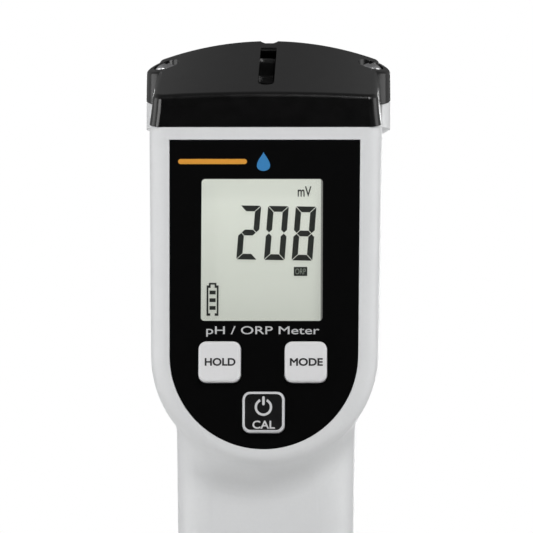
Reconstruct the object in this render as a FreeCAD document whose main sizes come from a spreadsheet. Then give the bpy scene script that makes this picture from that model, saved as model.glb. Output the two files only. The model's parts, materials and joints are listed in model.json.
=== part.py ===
import FreeCAD, Part
import os
import re

import Sketcher
from FreeCAD import Placement, Rotation, Vector

# Pocket pH and ORP meter with a plug-in electrode and a protective cap.
# World frame: +Z up, the display side faces -Y, the flat foot of the protective cap is at z = 0.
# Head frame: origin on the face plane at the centre of the label's round end, x to the right,
# y into the case, z up the face. The head leans back by the angle "tilt".
# Lengths are in millimetres, angles in degrees.

SIZES = [
    ("tilt", 8.0, "lean of the head"),
    ("head_y", -15.36, "head origin, depth"),
    ("head_z", 135.9, "head origin, height"),
    ("head_half_top", 19.34, "half width of the head at its top"),
    ("head_radius", 18.47, "round lower end of the head"),
    ("head_top", 62.0, "head blank, cut by the cover seam"),
    ("head_depth", 29.0, "front to back"),
    ("front_round", 2.5, "front edge of the head"),
    ("back_round", 7.0, "back edge of the head"),
    ("cover_corner", 1.8, "front corners of the cover"),
    ("neck_width", 27.9, "handle width"),
    ("neck_width_high", 29.7, "handle width inside the head"),
    ("neck_depth", 25.0, "handle depth"),
    ("neck_round", 6.0, "handle corners"),
    ("neck_end", 72.0, "lower end of the handle"),
    ("neck_top", 150.0, "handle blank ends inside the head"),
    ("blend_round", 6.0, "hollow between head and handle"),
    ("wall", 2.2, "side wall"),
    ("wall_front", 2.0, "front wall"),
    ("seam_front", 37.5, "cover seam height at the face"),
    ("seam_angle", 22.3, "slope of the cover seam"),
    ("seam_gap", 0.05, "gap along the seam"),
    ("split_depth", 9.5, "joint between the housing halves"),
    ("split_low", -6.0, "lower end of the joint in the head"),
    ("split_neck", 118.0, "upper end of the joint in the handle"),
    ("label_half_top", 15.55, "half width of the label at its top"),
    ("label_radius", 15.3, "round end of the label"),
    ("label_top", 35.4, "top edge of the label"),
    ("label_recess", 0.5, "depth of the label recess"),
    ("label_thick", 0.4, "label sheet"),
    ("label_gap", 0.06, "gap round the label"),
    ("window_centre", -0.4, "display window"),
    ("window_width", 19.8, "display window"),
    ("window_low", 5.65, "display window"),
    ("window_high", 29.0, "display window"),
    ("pane_margin", 1.0, "window pane beyond the opening"),
    ("pane_thick", 1.0, "window pane"),
    ("key_width", 6.88, "key cap"),
    ("key_height", 6.7, "key cap"),
    ("key_round", 1.3, "key cap corners"),
    ("key_proud", 0.95, "key cap above the face"),
    ("key_gap", 0.1, "gap round a key"),
    ("flange_wide", 7.8, "key flange"),
    ("flange_front", 2.05, "key flange"),
    ("flange_back", 2.85, "key flange"),
    ("stem_end", 3.45, "key stem"),
    ("stem_radius", 1.5, "key stem"),
    ("hold_x", -7.17, "hold key"),
    ("mode_x", 6.83, "mode key"),
    ("upper_key_z", -1.15, "hold and mode keys"),
    ("power_key_z", -9.36, "power key"),
    ("plunger_radius", 1.1, "switch plunger"),
    ("plunger_tip", 3.5, "switch plunger"),
    ("plunger_end", 6.2, "switch plunger"),
    ("switch_width", 4.5, "switch body"),
    ("switch_front", 4.2, "switch body"),
    ("board_front", 7.0, "circuit board"),
    ("board_thick", 1.6, "circuit board"),
    ("board_half", 12.4, "circuit board"),
    ("board_top", 34.0, "circuit board"),
    ("glass_front", 2.2, "display glass"),
    ("glass_thick", 1.1, "each display glass"),
    ("glass_half", 11.8, "display glass"),
    ("glass_low", 4.6, "display glass"),
    ("glass_high", 32.0, "display glass"),
    ("frame_half", 12.3, "display frame"),
    ("ear_x", 16.75, "screw ears"),
    ("ear_y", 17.8, "screw ears"),
    ("ear_radius", 3.55, "screw ears"),
    ("ear_low", 39.2, "bottom of the housing ears"),
    ("ear_taper", 0.7, "taper under the housing ears"),
    ("screw_x", 17.0, "cover screws"),
    ("ridge_y", 22.0, "ridge of the cover"),
    ("ridge_z", 55.7, "ridge of the cover"),
    ("crease_z", 43.2, "slope meets the face"),
    ("cover_round", 1.1, "upper edges of the cover"),
    ("ear_round", 0.6, "upper edge of the cover's ears"),
    ("rear_z", 52.3, "top of the cover at its back"),
    ("slot_half", 1.35, "lanyard slot"),
    ("slot_low", 3.2, "lanyard slot, lower end"),
    ("slot_high", 19.0, "lanyard slot, upper end"),
    ("bar_y", 20.5, "lanyard bar"),
    ("bar_z", 54.0, "lanyard bar"),
    ("bar_radius", 1.6, "lanyard bar"),
    ("loop_radius", 4.5, "lanyard channel round the bar"),
    ("well_half", 10.9, "battery well"),
    ("well_front", 10.6, "battery well"),
    ("well_back", 25.4, "battery well"),
    ("well_floor", 14.0, "battery well"),
    ("well_wall", 1.1, "battery well"),
    ("slide_gap", 0.08, "sliding fit"),
    ("spigot_low", 39.5, "cover spigot"),
    ("spigot_wall", 1.3, "cover spigot"),
    ("cell_radius", 10.0, "coin cell"),
    ("cell_thick", 3.2, "coin cell"),
    ("cell_centre", 26.2, "coin cells"),
    ("cell_start", 11.6, "front of the first cell"),
    ("carrier_low", 15.0, "battery carrier"),
    ("carrier_high", 38.5, "battery carrier"),
    ("boss_x", 14.8, "housing screws in the head"),
    ("boss_high", 30.0, "upper housing screws"),
    ("boss_low", 2.0, "lower housing screws"),
    ("boss_radius", 2.1, "screw bosses, front half"),
    ("rear_boss_radius", 2.85, "screw bosses, rear half"),
    ("neck_boss_x", 9.3, "housing screws in the handle"),
    ("neck_boss_z", 84.0, "housing screws in the handle"),
    ("thread_radius", 0.98, "screw shank"),
    ("spigot_radius", 11.0, "socket housing"),
    ("spigot_end", 63.0, "socket housing"),
    ("socket_bore", 8.0, "socket housing"),
    ("collar_radius", 14.75, "collar"),
    ("collar_low", 58.0, "collar"),
    ("collar_high", 71.5, "collar"),
    ("plug_radius", 7.5, "electrode plug"),
    ("body_radius", 9.2, "electrode body"),
    ("tube_radius", 6.5, "probe tube"),
    ("tube_bore", 5.3, "probe tube"),
    ("tube_low", 16.0, "probe tube"),
    ("cap_high", 57.5, "protective cap"),
    ("cap_radius", 10.7, "protective cap"),
    ("foot_radius", 13.0, "protective cap foot"),
]

doc = FreeCAD.newDocument("PocketMeter")
sheet = doc.addObject("Spreadsheet::Sheet", "Sizes")
for row, (alias, size, note) in enumerate(SIZES, start=1):
    sheet.set(f"A{row}", alias)
    sheet.set(f"B{row}", str(size))
    sheet.setAlias(f"B{row}", alias)
    sheet.set(f"C{row}", note)
doc.recompute()

ALIASES = re.compile(r"\b(" + "|".join(alias for alias, size, note in SIZES) + r")\b")
PIECES = []


# ---------------------------------------------------------------- helpers
def linked(text):
    """The expression with every size name pointing at the sheet."""
    return ALIASES.sub(r"Sizes.\1", str(text))


def number(text):
    value = sheet.evalExpression(linked(text))
    return float(getattr(value, "Value", value))


def bind(thing, prop, text):
    thing.setExpression(prop, linked(text))


HEAD = Placement(
    Vector(0, number("head_y"), number("head_z")),
    Rotation(Vector(1, 0, 0), -number("tilt")),
)
SEAM = HEAD.multiply(
    Placement(Vector(0, 0, number("seam_front")), Rotation(Vector(1, 0, 0), number("seam_angle")))
)


def seam(depth, drop="0"):
    """Height of the cover seam at a depth in the head."""
    return f"seam_front + tan(seam_angle) * ({depth}) - ({drop})"


def world_y(depth, height):
    return f"head_y + ({depth}) * cos(tilt) + ({height}) * sin(tilt)"


def world_z(depth, height):
    return f"head_z - ({depth}) * sin(tilt) + ({height}) * cos(tilt)"


def box(name, low, size):
    """A block from its low corner and its three sizes."""
    thing = doc.addObject("Part::Box", name)
    for axis, text in zip("xyz", low):
        bind(thing, f"Placement.Base.{axis}", text)
    for prop, text in zip(("Length", "Width", "Height"), size):
        bind(thing, prop, text)
    return thing


SPIN = Rotation(Vector(0, 0, 1), 40)
TURNS = {
    "x": Rotation(Vector(0, 1, 0), 90).multiply(SPIN),
    "y": Rotation(Vector(1, 0, 0), -90).multiply(SPIN),
    "z": SPIN,
}


def rod(name, start, radius, length, axis="z"):
    """A cylinder that runs from its start along +x, +y or +z."""
    thing = doc.addObject("Part::Cylinder", name)
    thing.Placement = Placement(Vector(0, 0, 0), TURNS[axis])
    for letter, text in zip("xyz", start):
        bind(thing, f"Placement.Base.{letter}", text)
    bind(thing, "Radius", radius)
    bind(thing, "Height", length)
    return thing


def ball(name, centre, radius):
    thing = doc.addObject("Part::Sphere", name)
    for letter, text in zip("xyz", centre):
        bind(thing, f"Placement.Base.{letter}", text)
    bind(thing, "Radius", radius)
    return thing


def fuse(name, parts, place=None):
    thing = doc.addObject("Part::MultiFuse", name)
    thing.Shapes = parts
    thing.Refine = True
    if place:
        thing.Placement = place
    return thing


def cut(name, base, tools, place=None):
    tool = tools[0] if len(tools) == 1 else fuse(name + "_tools", tools)
    thing = doc.addObject("Part::Cut", name)
    thing.Base = base
    thing.Tool = tool
    thing.Refine = True
    if place:
        thing.Placement = place
    return thing


def common(name, parts, place=None):
    thing = doc.addObject("Part::MultiCommon", name)
    thing.Shapes = parts
    thing.Refine = True
    if place:
        thing.Placement = place
    return thing


def group(name, parts, place=None):
    thing = doc.addObject("Part::Compound", name)
    thing.Links = parts
    if place:
        thing.Placement = place
    return thing


def new_body(name, place=None):
    body = doc.addObject("PartDesign::Body", name)
    if place:
        body.Placement = place
    return body


def sketch_on(body, name, plane, offset="0"):
    """A sketch on one of the body's own origin planes, moved along the plane's normal."""
    sketch = body.newObject("Sketcher::SketchObject", name)
    base = [item for item in body.Origin.OriginFeatures if item.Role == plane + "_Plane"][0]
    sketch.AttachmentSupport = [(base, "")]
    sketch.MapMode = "FlatFace"
    bind(sketch, "AttachmentOffset.Base.z", offset)
    return sketch


def place_point(sketch, geometry, vertex, across, up):
    """Hold one sketch point at two driven coordinates."""
    for kind, text, axis in (("DistanceX", across, -2), ("DistanceY", up, -1)):
        value = number(text)
        if abs(value) < 1e-9:
            sketch.addConstraint(Sketcher.Constraint("PointOnObject", geometry, vertex, axis))
            continue
        index = sketch.addConstraint(Sketcher.Constraint(kind, -1, 1, geometry, vertex, value))
        label = f"{kind}_{geometry}_{vertex}"
        sketch.renameConstraint(index, label)
        bind(sketch, f"Constraints.{label}", text)


def drive_radius(sketch, geometry, text):
    index = sketch.addConstraint(Sketcher.Constraint("Radius", geometry, number(text)))
    label = f"Radius_{geometry}"
    sketch.renameConstraint(index, label)
    bind(sketch, f"Constraints.{label}", text)


def polygon(sketch, points):
    first = len(sketch.Geometry)
    count = len(points)
    spots = [Vector(number(a), number(b), 0) for a, b in points]
    for i in range(count):
        sketch.addGeometry(Part.LineSegment(spots[i], spots[(i + 1) % count]))
    for i in range(count):
        following = first + (i + 1) % count
        sketch.addConstraint(Sketcher.Constraint("Coincident", first + i, 2, following, 1))
    for i, (across, up) in enumerate(points):
        place_point(sketch, first + i, 1, across, up)


def rectangle(sketch, low_x, high_x, low_y, high_y):
    polygon(sketch, [(low_x, low_y), (high_x, low_y), (high_x, high_y), (low_x, high_y)])


def circle(sketch, across, up, radius):
    centre = Vector(number(across), number(up), 0)
    index = sketch.addGeometry(Part.Circle(centre, Vector(0, 0, 1), number(radius)))
    place_point(sketch, index, 3, across, up)
    drive_radius(sketch, index, radius)


def rounded(sketch, low_x, high_x, low_y, high_y, low_round, high_round):
    """A rectangle with one corner radius on its low side and one on its high side."""
    x0, x1, y0, y1 = number(low_x), number(high_x), number(low_y), number(high_y)
    ra, rb = number(low_round), number(high_round)
    first = len(sketch.Geometry)
    up, half = Vector(0, 0, 1), 1.5707963267948966
    corners = [
        (x1 - ra, y0 + ra, ra, 3 * half),
        (x1 - rb, y1 - rb, rb, 0),
        (x0 + rb, y1 - rb, rb, half),
        (x0 + ra, y0 + ra, ra, 2 * half),
    ]
    sides = [
        (Vector(x0 + ra, y0, 0), Vector(x1 - ra, y0, 0)),
        (Vector(x1, y0 + ra, 0), Vector(x1, y1 - rb, 0)),
        (Vector(x1 - rb, y1, 0), Vector(x0 + rb, y1, 0)),
        (Vector(x0, y1 - rb, 0), Vector(x0, y0 + ra, 0)),
    ]
    for (start, end), (cx, cy, radius, angle) in zip(sides, corners):
        sketch.addGeometry(Part.LineSegment(start, end))
        ring = Part.Circle(Vector(cx, cy, 0), up, radius)
        sketch.addGeometry(Part.ArcOfCircle(ring, angle, angle + half))
    for i in range(8):
        a, b = first + i, first + (i + 1) % 8
        sketch.addConstraint(Sketcher.Constraint("Tangent", a, 2, b, 1))
    for i, kind in ((0, "Horizontal"), (2, "Vertical"), (4, "Horizontal"), (6, "Vertical")):
        sketch.addConstraint(Sketcher.Constraint(kind, first + i))
    sketch.addConstraint(Sketcher.Constraint("Equal", first + 1, first + 7))
    sketch.addConstraint(Sketcher.Constraint("Equal", first + 3, first + 5))
    drive_radius(sketch, first + 1, low_round)
    drive_radius(sketch, first + 3, high_round)
    for kind, geometry, text in (
        ("DistanceX", first + 6, low_x),
        ("DistanceX", first + 2, high_x),
        ("DistanceY", first, low_y),
        ("DistanceY", first + 4, high_y),
    ):
        value = number(text)
        if abs(value) < 1e-9:
            axis = -1 if kind == "DistanceY" else -2
            sketch.addConstraint(Sketcher.Constraint("PointOnObject", geometry, 1, axis))
            continue
        index = sketch.addConstraint(Sketcher.Constraint(kind, -1, 1, geometry, 1, value))
        label = f"{kind}_{geometry}"
        sketch.renameConstraint(index, label)
        bind(sketch, f"Constraints.{label}", text)


def round_end(sketch, half_top, top, radius):
    """Straight sides and a flat top over a half-round lower end centred on the origin."""
    first = len(sketch.Geometry)
    w, t, r = number(half_top), number(top), number(radius)
    sketch.addGeometry(Part.LineSegment(Vector(-w, t, 0), Vector(-r, 0, 0)))
    ring = Part.Circle(Vector(0, 0, 0), Vector(0, 0, 1), r)
    sketch.addGeometry(Part.ArcOfCircle(ring, 3.141592653589793, 6.283185307179586))
    sketch.addGeometry(Part.LineSegment(Vector(r, 0, 0), Vector(w, t, 0)))
    sketch.addGeometry(Part.LineSegment(Vector(w, t, 0), Vector(-w, t, 0)))
    for kind, a, b in (("Tangent", 0, 1), ("Tangent", 1, 2), ("Coincident", 2, 3), ("Coincident", 3, 0)):
        sketch.addConstraint(Sketcher.Constraint(kind, first + a, 2, first + b, 1))
    sketch.addConstraint(Sketcher.Constraint("Coincident", first + 1, 3, -1, 1))
    drive_radius(sketch, first + 1, radius)
    place_point(sketch, first, 1, f"-({half_top})", top)
    place_point(sketch, first + 2, 2, half_top, top)


def arched(sketch, half, low, high, drop):
    """A block outline whose top is one arc."""
    w, a, b, d = number(half), number(low), number(high), number(drop)
    first = len(sketch.Geometry)
    sketch.addGeometry(Part.LineSegment(Vector(-w, b - d, 0), Vector(-w, a, 0)))
    sketch.addGeometry(Part.LineSegment(Vector(-w, a, 0), Vector(w, a, 0)))
    sketch.addGeometry(Part.LineSegment(Vector(w, a, 0), Vector(w, b - d, 0)))
    arc = Part.Arc(Vector(w, b - d, 0), Vector(0, b, 0), Vector(-w, b - d, 0))
    sketch.addGeometry(arc)
    for i in range(4):
        following = first + (i + 1) % 4
        sketch.addConstraint(Sketcher.Constraint("Coincident", first + i, 2, following, 1))
    place_point(sketch, first, 1, f"-({half})", f"{high} - ({drop})")
    place_point(sketch, first + 1, 1, f"-({half})", low)
    place_point(sketch, first + 2, 1, half, low)
    place_point(sketch, first + 2, 2, half, f"{high} - ({drop})")
    drive_radius(sketch, first + 3, f"(({half})^2 + ({drop})^2) / (2 * ({drop}))")


def pad(body, sketch, length, backwards=False):
    doc.recompute()
    feature = body.newObject("PartDesign::Pad", sketch.Name + "_pad")
    feature.Profile = sketch
    bind(feature, "Length", length)
    feature.Reversed = backwards
    sketch.Visibility = False
    body.Tip = feature
    doc.recompute()
    return feature


def inward(body, name, start, length, draw):
    """A pad that runs from a depth in the head away from the face."""
    sketch = sketch_on(body, name, "XZ", f"-({start})")
    draw(sketch)
    return pad(body, sketch, length, backwards=True)


def level_inward(body, name, start, length, draw):
    """A pad that runs level from a depth in the head, so its outline climbs the leaning head."""
    sketch = sketch_on(body, name, "XZ", f"-({start})")
    bind(sketch, "AttachmentOffset.Base.y", f"({start}) * tan(tilt)")
    draw(sketch)
    feature = pad(body, sketch, length)
    feature.UseCustomVector = True
    feature.AlongSketchNormal = True
    feature.Direction = HEAD.Rotation.inverted().multVec(Vector(0, 1, 0))
    doc.recompute()
    return feature


def sideways(name, points, half, place=None):
    """A prism across the width, drawn in the side view."""
    body = new_body(name, place)
    sketch = sketch_on(body, name + "_outline", "YZ", f"-({half})")
    polygon(sketch, points)
    pad(body, sketch, f"2 * ({half})")
    return body


def turned(name, points, place=None):
    """A body of revolution about z from radius and height pairs."""
    body = new_body(name, place)
    sketch = sketch_on(body, name + "_profile", "XZ")
    polygon(sketch, points)
    doc.recompute()
    feature = body.newObject("PartDesign::Revolution", name + "_turn")
    feature.Profile = sketch
    feature.ReferenceAxis = (sketch, ["V_Axis"])
    feature.Angle = 360
    body.Tip = feature
    doc.recompute()
    return body


def loft(body, sketches, ruled):
    doc.recompute()
    feature = body.newObject("PartDesign::AdditiveLoft", body.Name + "_loft")
    feature.Profile = sketches[0]
    feature.Sections = sketches[1:]
    feature.Ruled = ruled
    body.Tip = feature
    doc.recompute()
    return feature


def edges_where(shape, test):
    """Names of the edges whose end points and middle all pass a test."""
    names = []
    for index, edge in enumerate(shape.Edges, start=1):
        middle = edge.valueAt((edge.FirstParameter + edge.LastParameter) / 2)
        points = [vertex.Point for vertex in edge.Vertexes] + [middle]
        if all(test(point) for point in points):
            names.append(f"Edge{index}")
    return names


def soften(body, name, radius, test):
    """Round the chosen edges of a body."""
    base = body.Tip
    names = edges_where(base.Shape, test)
    feature = body.newObject("PartDesign::Fillet", name)
    feature.Base = (base, names)
    bind(feature, "Radius", radius)
    body.Tip = feature
    doc.recompute()
    return feature


def soften_solid(name, base, radius, indices, place=None):
    """Round numbered edges of a solid that is not a body."""
    feature = doc.addObject("Part::Fillet", name)
    feature.Base = base
    size = number(radius)
    feature.Edges = [(index, size, size) for index in indices]
    if place:
        feature.Placement = place
    doc.recompute()
    return feature


def near(value, target, slack=1e-3):
    return abs(value - target) < slack


def piece(thing, name):
    """Register a finished piece under the name of its file."""
    thing.Label = name
    PIECES.append(thing)
    return thing


# ---------------------------------------------------------------- outer case
def head_blank():
    body = new_body("head_blank", HEAD)
    level_inward(body, "head_outline", "0", "head_depth",
                 lambda s: round_end(s, "head_half_top", "head_top", "head_radius"))
    top, depth = number("head_top"), number("head_depth")
    soften(body, "head_front_round", "front_round",
           lambda p: near(p.y, 0) and not (p.z > top - 1 and abs(p.x) < 1))
    soften(body, "head_back_round", "back_round",
           lambda p: near(p.y, depth) and not (p.z > top - 1 and abs(p.x) < 1))
    return body


def neck_blank(name, shrink, low, high):
    body = new_body(name)
    sketches = []
    for label, height, width in (("low", low, "neck_width"), ("high", high, "neck_width_high")):
        sketch = sketch_on(body, f"{name}_{label}", "XY", height)
        half = f"({width} / 2 - {shrink})"
        deep = f"(neck_depth / 2 - {shrink})"
        curve = f"neck_round - {shrink}"
        rounded(sketch, f"-{half}", half, f"-{deep}", deep, curve, curve)
        sketches.append(sketch)
    loft(body, sketches, True)
    return body


def case_solid():
    head = head_blank()
    neck = neck_blank("neck_blank", "0", "neck_end", "neck_top")
    joined = fuse("case_joined", [head, neck])
    doc.recompute()
    head_shape, neck_shape = head.Shape, neck.Shape
    junction = []
    for index, edge in enumerate(joined.Shape.Edges, start=1):
        middle = edge.valueAt((edge.FirstParameter + edge.LastParameter) / 2)
        spot = Part.Vertex(middle)
        on_head = min(face.distToShape(spot)[0] for face in head_shape.Faces) < 1e-4
        on_neck = min(face.distToShape(spot)[0] for face in neck_shape.Faces) < 1e-4
        if on_head and on_neck:
            junction.append(index)
    return soften_solid("case_outer", joined, "blend_round", junction)


def below_seam(name, drop):
    points = [("-10", "-60"), ("60", "-60"), ("60", seam("60", drop)), ("-10", seam("-10", drop))]
    return sideways(name, points, "40", HEAD)


def front_region():
    points = [
        ("-60", "50"),
        ("0", "50"),
        ("0", "split_neck"),
        (world_y("split_depth", "split_low"), world_z("split_depth", "split_low")),
        (world_y("split_depth", "70"), world_z("split_depth", "70")),
        ("-60", world_z("split_depth", "70")),
    ]
    return sideways("front_region", points, "40")


def head_inset(name, inset, start):
    """The head's outline moved inwards."""
    body = new_body(name, HEAD)
    level_inward(body, f"{name}_outline", start, f"head_depth - {start} - {inset}",
                 lambda s: round_end(s, f"head_half_top - {inset}", "head_top", f"head_radius - {inset}"))
    back, top = number(f"head_depth - {inset}"), number("head_top")
    soften(body, f"{name}_round", f"back_round - {inset}",
           lambda p: near(p.y, back) and not (p.z > top - 1 and abs(p.x) < 1))
    return body


def head_room():
    return common("head_space", [head_inset("head_room", "wall", "wall_front"),
                                 below_seam("roof", "wall")])


def inner_space():
    neck = neck_blank("neck_room", "wall", "neck_end + 2.5", "126")
    return fuse("inner_space", [head_room(), neck])


def key_holes(start, length, gap):
    """Openings for the three keys, in the head frame."""
    holes = []
    for name, across, up in (
        ("hold", "hold_x", "upper_key_z"),
        ("mode", "mode_x", "upper_key_z"),
        ("power", "0", "power_key_z"),
    ):
        body = new_body(f"{name}_opening_{len(doc.Objects)}")
        wide = f"(key_width / 2 + {gap})"
        tall = f"(key_height / 2 + {gap})"
        curve = f"key_round + {gap}"
        inward(body, f"{name}_opening_outline_{len(doc.Objects)}", start, length,
               lambda s: rounded(s, f"{across} - {wide}", f"{across} + {wide}",
                                 f"{up} - {tall}", f"{up} + {tall}", curve, curve))
        holes.append(body)
    return holes


def window_block(name, margin, start, length):
    half = f"(window_width / 2 + {margin})"
    return box(name, (f"window_centre - {half}", start, f"window_low - ({margin})"),
               (f"2 * {half}", length, f"window_high - window_low + 2 * ({margin})"))


CASE = case_solid()
BELOW = below_seam("below_seam", "0")
FRONT = front_region()
SPACE = inner_space()
SCREW_SPOTS = [
    ("-boss_x", "boss_high"),
    ("boss_x", "boss_high"),
    ("-boss_x", "boss_low"),
    ("boss_x", "boss_low"),
]
POST_X, POST_Z = "8.6", "-9.2"


def front_housing():
    shell = cut("front_shell", common("front_block", [CASE, BELOW, FRONT]), [SPACE])
    bosses = [
        rod(f"front_boss_{i}", (across, "wall_front - 0.5", up), "boss_radius",
            "split_depth - wall_front + 0.5", "y")
        for i, (across, up) in enumerate(SCREW_SPOTS)
    ]
    posts = [
        rod(f"board_post_{i}", (f"{sign}{POST_X}", "wall_front - 0.5", POST_Z), "1.7",
            "board_front - wall_front + 0.5", "y")
        for i, sign in enumerate(("-", ""))
    ]
    head_adds = fuse("front_head_adds", bosses + posts, HEAD)
    neck_adds = [
        rod(f"front_neck_boss_{i}", (f"{sign}neck_boss_x", "-neck_depth / 2 + 1", "neck_boss_z"),
            "boss_radius", "neck_depth / 2 - 1", "y")
        for i, sign in enumerate(("-", ""))
    ]
    neck_adds += clamp_ribs("front", "-neck_depth / 2 + 1.5", "neck_depth / 2 - 1.5")
    full = fuse("front_full", [shell, head_adds] + neck_adds)

    recess = new_body("label_recess")
    inward(recess, "label_recess_outline", "-1", "label_recess + 1",
           lambda s: round_end(s, "label_half_top + label_gap", "label_top + label_gap",
                               "label_radius + label_gap"))
    pane = window_block("pane_seat", "pane_margin + 0.05", "0", "label_recess + pane_thick + 0.05")
    view = window_block("view_opening", "0.3", "0", "5")
    pilots = [
        rod(f"pilot_{i}", (across, "wall_front + 1", up), "thread_radius + 0.02", "12", "y")
        for i, (across, up) in enumerate(SCREW_SPOTS)
    ]
    post_pilots = [
        rod(f"post_pilot_{i}", (f"{sign}{POST_X}", "wall_front + 0.5", POST_Z), "0.75", "8", "y")
        for i, sign in enumerate(("-", ""))
    ]
    head_cuts = fuse("front_head_cuts",
                     [recess, pane, view, gasket_body("gasket_groove")] + key_holes("0", "4", "key_gap")
                     + pilots + post_pilots, HEAD)
    neck_cuts = [
        rod(f"neck_pilot_{i}", (f"{sign}neck_boss_x", "-9.5", "neck_boss_z"),
            "thread_radius + 0.02", "12", "y")
        for i, sign in enumerate(("-", ""))
    ]
    neck_cuts.append(rod("front_socket_bore", ("0", "0", "neck_end - 1"), "spigot_radius + 0.05", "4"))
    piece(cut("front_housing", full, [head_cuts] + neck_cuts), "front_housing")


def clamp_ribs(side, start, depth):
    """Ribs in the handle that hold the socket housing down."""
    return [
        box(f"{side}_clamp_{i}", (across, start, "neck_end + 5.1"), ("1.6", depth, "2"))
        for i, across in enumerate(("-neck_width / 2 + 1.8", "neck_width / 2 - 3.4"))
    ]


def gasket_body(name, place=None):
    """A cord laid as an arch in the mating face of the housing halves."""
    body = new_body(name, place)
    sketch = sketch_on(body, name + "_outline", "XZ", "-(split_depth - 0.8)")
    polygon(sketch, [("-17.85", "1.5"), ("-17", "1.5"), ("-17", "39.4"), ("17", "39.4"),
                     ("17", "1.5"), ("17.85", "1.5"), ("17.85", "40.3"), ("-17.85", "40.3")])
    pad(body, sketch, "0.8", backwards=True)
    return body


def rear_housing():
    block = cut("rear_block", common("rear_all", [CASE, BELOW]), [FRONT])
    shell = cut("rear_shell", block, [SPACE])
    bosses = [
        rod(f"rear_boss_{i}", (across, "split_depth", up), "rear_boss_radius",
            "head_depth - split_depth - 1", "y")
        for i, (across, up) in enumerate(SCREW_SPOTS)
    ]
    well = box("well_block", ("-well_half - well_wall", "split_depth", "well_floor - well_wall"),
               ("2 * (well_half + well_wall)", "head_depth - split_depth - 1",
                "60 - well_floor"))
    ears = []
    for i, sign in enumerate(("-", "")):
        spot = (f"{sign}ear_x", "ear_y", "ear_low + ear_taper")
        pillar = rod(f"ear_pillar_{i}", spot, "ear_radius", "12")
        ears.append(pillar)
        tip = doc.addObject("Part::Cone", f"ear_tip_{i}")
        for letter, text in zip("xyz", (f"{sign}ear_x", "ear_y", "ear_low")):
            bind(tip, f"Placement.Base.{letter}", text)
        bind(tip, "Radius1", "ear_radius - 1.3")
        bind(tip, "Radius2", "ear_radius")
        bind(tip, "Height", "ear_taper")
        ears.append(tip)
    inside = fuse("rear_head_inside", bosses + [well], HEAD)
    trimmed = common("rear_inside", [inside, head_inset("wall_middle", "1", "1"), BELOW])
    outside = common("rear_ears", [fuse("rear_ear_set", ears, HEAD), BELOW])
    neck_adds = [
        rod(f"rear_neck_boss_{i}", (f"{sign}neck_boss_x", "0", "neck_boss_z"),
            "rear_boss_radius", "neck_depth / 2 - 1.5", "y")
        for i, sign in enumerate(("-", ""))
    ]
    neck_adds += clamp_ribs("rear", "0", "neck_depth / 2 - 1.5")
    full = fuse("rear_full", [shell, trimmed, outside] + neck_adds)

    cuts = [box("well_room", ("-well_half", "well_front", "well_floor"),
                ("2 * well_half", "well_back - well_front", "60"))]
    for i, (across, up) in enumerate(SCREW_SPOTS):
        cuts.append(rod(f"screw_pass_{i}", (across, "5", up), "1.15", "16", "y"))
        cuts.append(rod(f"counterbore_{i}", (across, "16", up), "2.05", "20", "y"))
    for i, sign in enumerate(("-", "")):
        cuts.append(rod(f"insert_seat_{i}", (f"{sign}screw_x", "ear_y", "41.2"), "1.6", "9"))
    head_cuts = fuse("rear_head_cuts", cuts, HEAD)
    neck_cuts = [rod("rear_socket_bore", ("0", "0", "neck_end - 1"), "spigot_radius + 0.05", "4")]
    for i, sign in enumerate(("-", "")):
        spot = f"{sign}neck_boss_x"
        neck_cuts.append(rod(f"neck_pass_{i}", (spot, "-1", "neck_boss_z"), "1.15", "8", "y"))
        neck_cuts.append(rod(f"neck_counterbore_{i}", (spot, "4.5", "neck_boss_z"), "2.05", "12", "y"))
    piece(cut("rear_housing", full, [head_cuts] + neck_cuts), "rear_housing")


def screw(name, start, shank, head, head_length, length, axis):
    """A domed screw: shank then head along the axis, with a cross recess."""
    x, y, z = start
    if axis == "y":
        head_at = (x, f"{y} + {length}", z)
        dome_at = (x, f"{y} + {length} + {head_length} - 2.2", z)
        slot = [box(f"{name}_slot_a", (f"{x} - 1.1", f"{y} + {length} + {head_length} - 0.5", f"{z} - 0.22"),
                    ("2.2", "2", "0.44")),
                box(f"{name}_slot_b", (f"{x} - 0.22", f"{y} + {length} + {head_length} - 0.5", f"{z} - 1.1"),
                    ("0.44", "2", "2.2"))]
    else:
        head_at = (x, y, f"{z} + {length}")
        dome_at = (x, y, f"{z} + {length} + {head_length} - 2.2")
        slot = [box(f"{name}_slot_a", (f"{x} - 1.1", f"{y} - 0.22", f"{z} + {length} + {head_length} - 0.5"),
                    ("2.2", "0.44", "2")),
                box(f"{name}_slot_b", (f"{x} - 0.22", f"{y} - 1.1", f"{z} + {length} + {head_length} - 0.5"),
                    ("0.44", "2.2", "2"))]
    shaft = rod(f"{name}_shaft", start, shank, f"{length} + 0.2", axis)
    cap = common(f"{name}_head", [rod(f"{name}_disc", head_at, head, "3", axis),
                                  ball(f"{name}_dome", dome_at, "2.2")])
    return cut(name, fuse(f"{name}_solid", [shaft, cap]), slot)


def housing_screws():
    head_set = [
        screw(f"head_screw_{i}", (across, "4.6", up), "thread_radius", "1.9", "1.5", "11.4", "y")
        for i, (across, up) in enumerate(SCREW_SPOTS)
    ]
    neck_set = [
        screw(f"neck_screw_{i}", (f"{sign}neck_boss_x", "-6.9", "neck_boss_z"),
              "thread_radius", "1.9", "1.5", "11.4", "y")
        for i, sign in enumerate(("-", ""))
    ]
    piece(group("housing_screws", [group("head_screws", head_set, HEAD)] + neck_set),
          "housing_screws")


# ---------------------------------------------------------------- battery cover
def top_edges(shape, test):
    """Numbers of the edges whose points, seen in the head frame, all pass a test."""
    to_head = HEAD.inverse()
    chosen = []
    for index, edge in enumerate(shape.Edges, start=1):
        middle = edge.valueAt((edge.FirstParameter + edge.LastParameter) / 2)
        points = [vertex.Point for vertex in edge.Vertexes] + [middle]
        if all(test(to_head.multVec(point)) for point in points):
            chosen.append(index)
    return chosen


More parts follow.
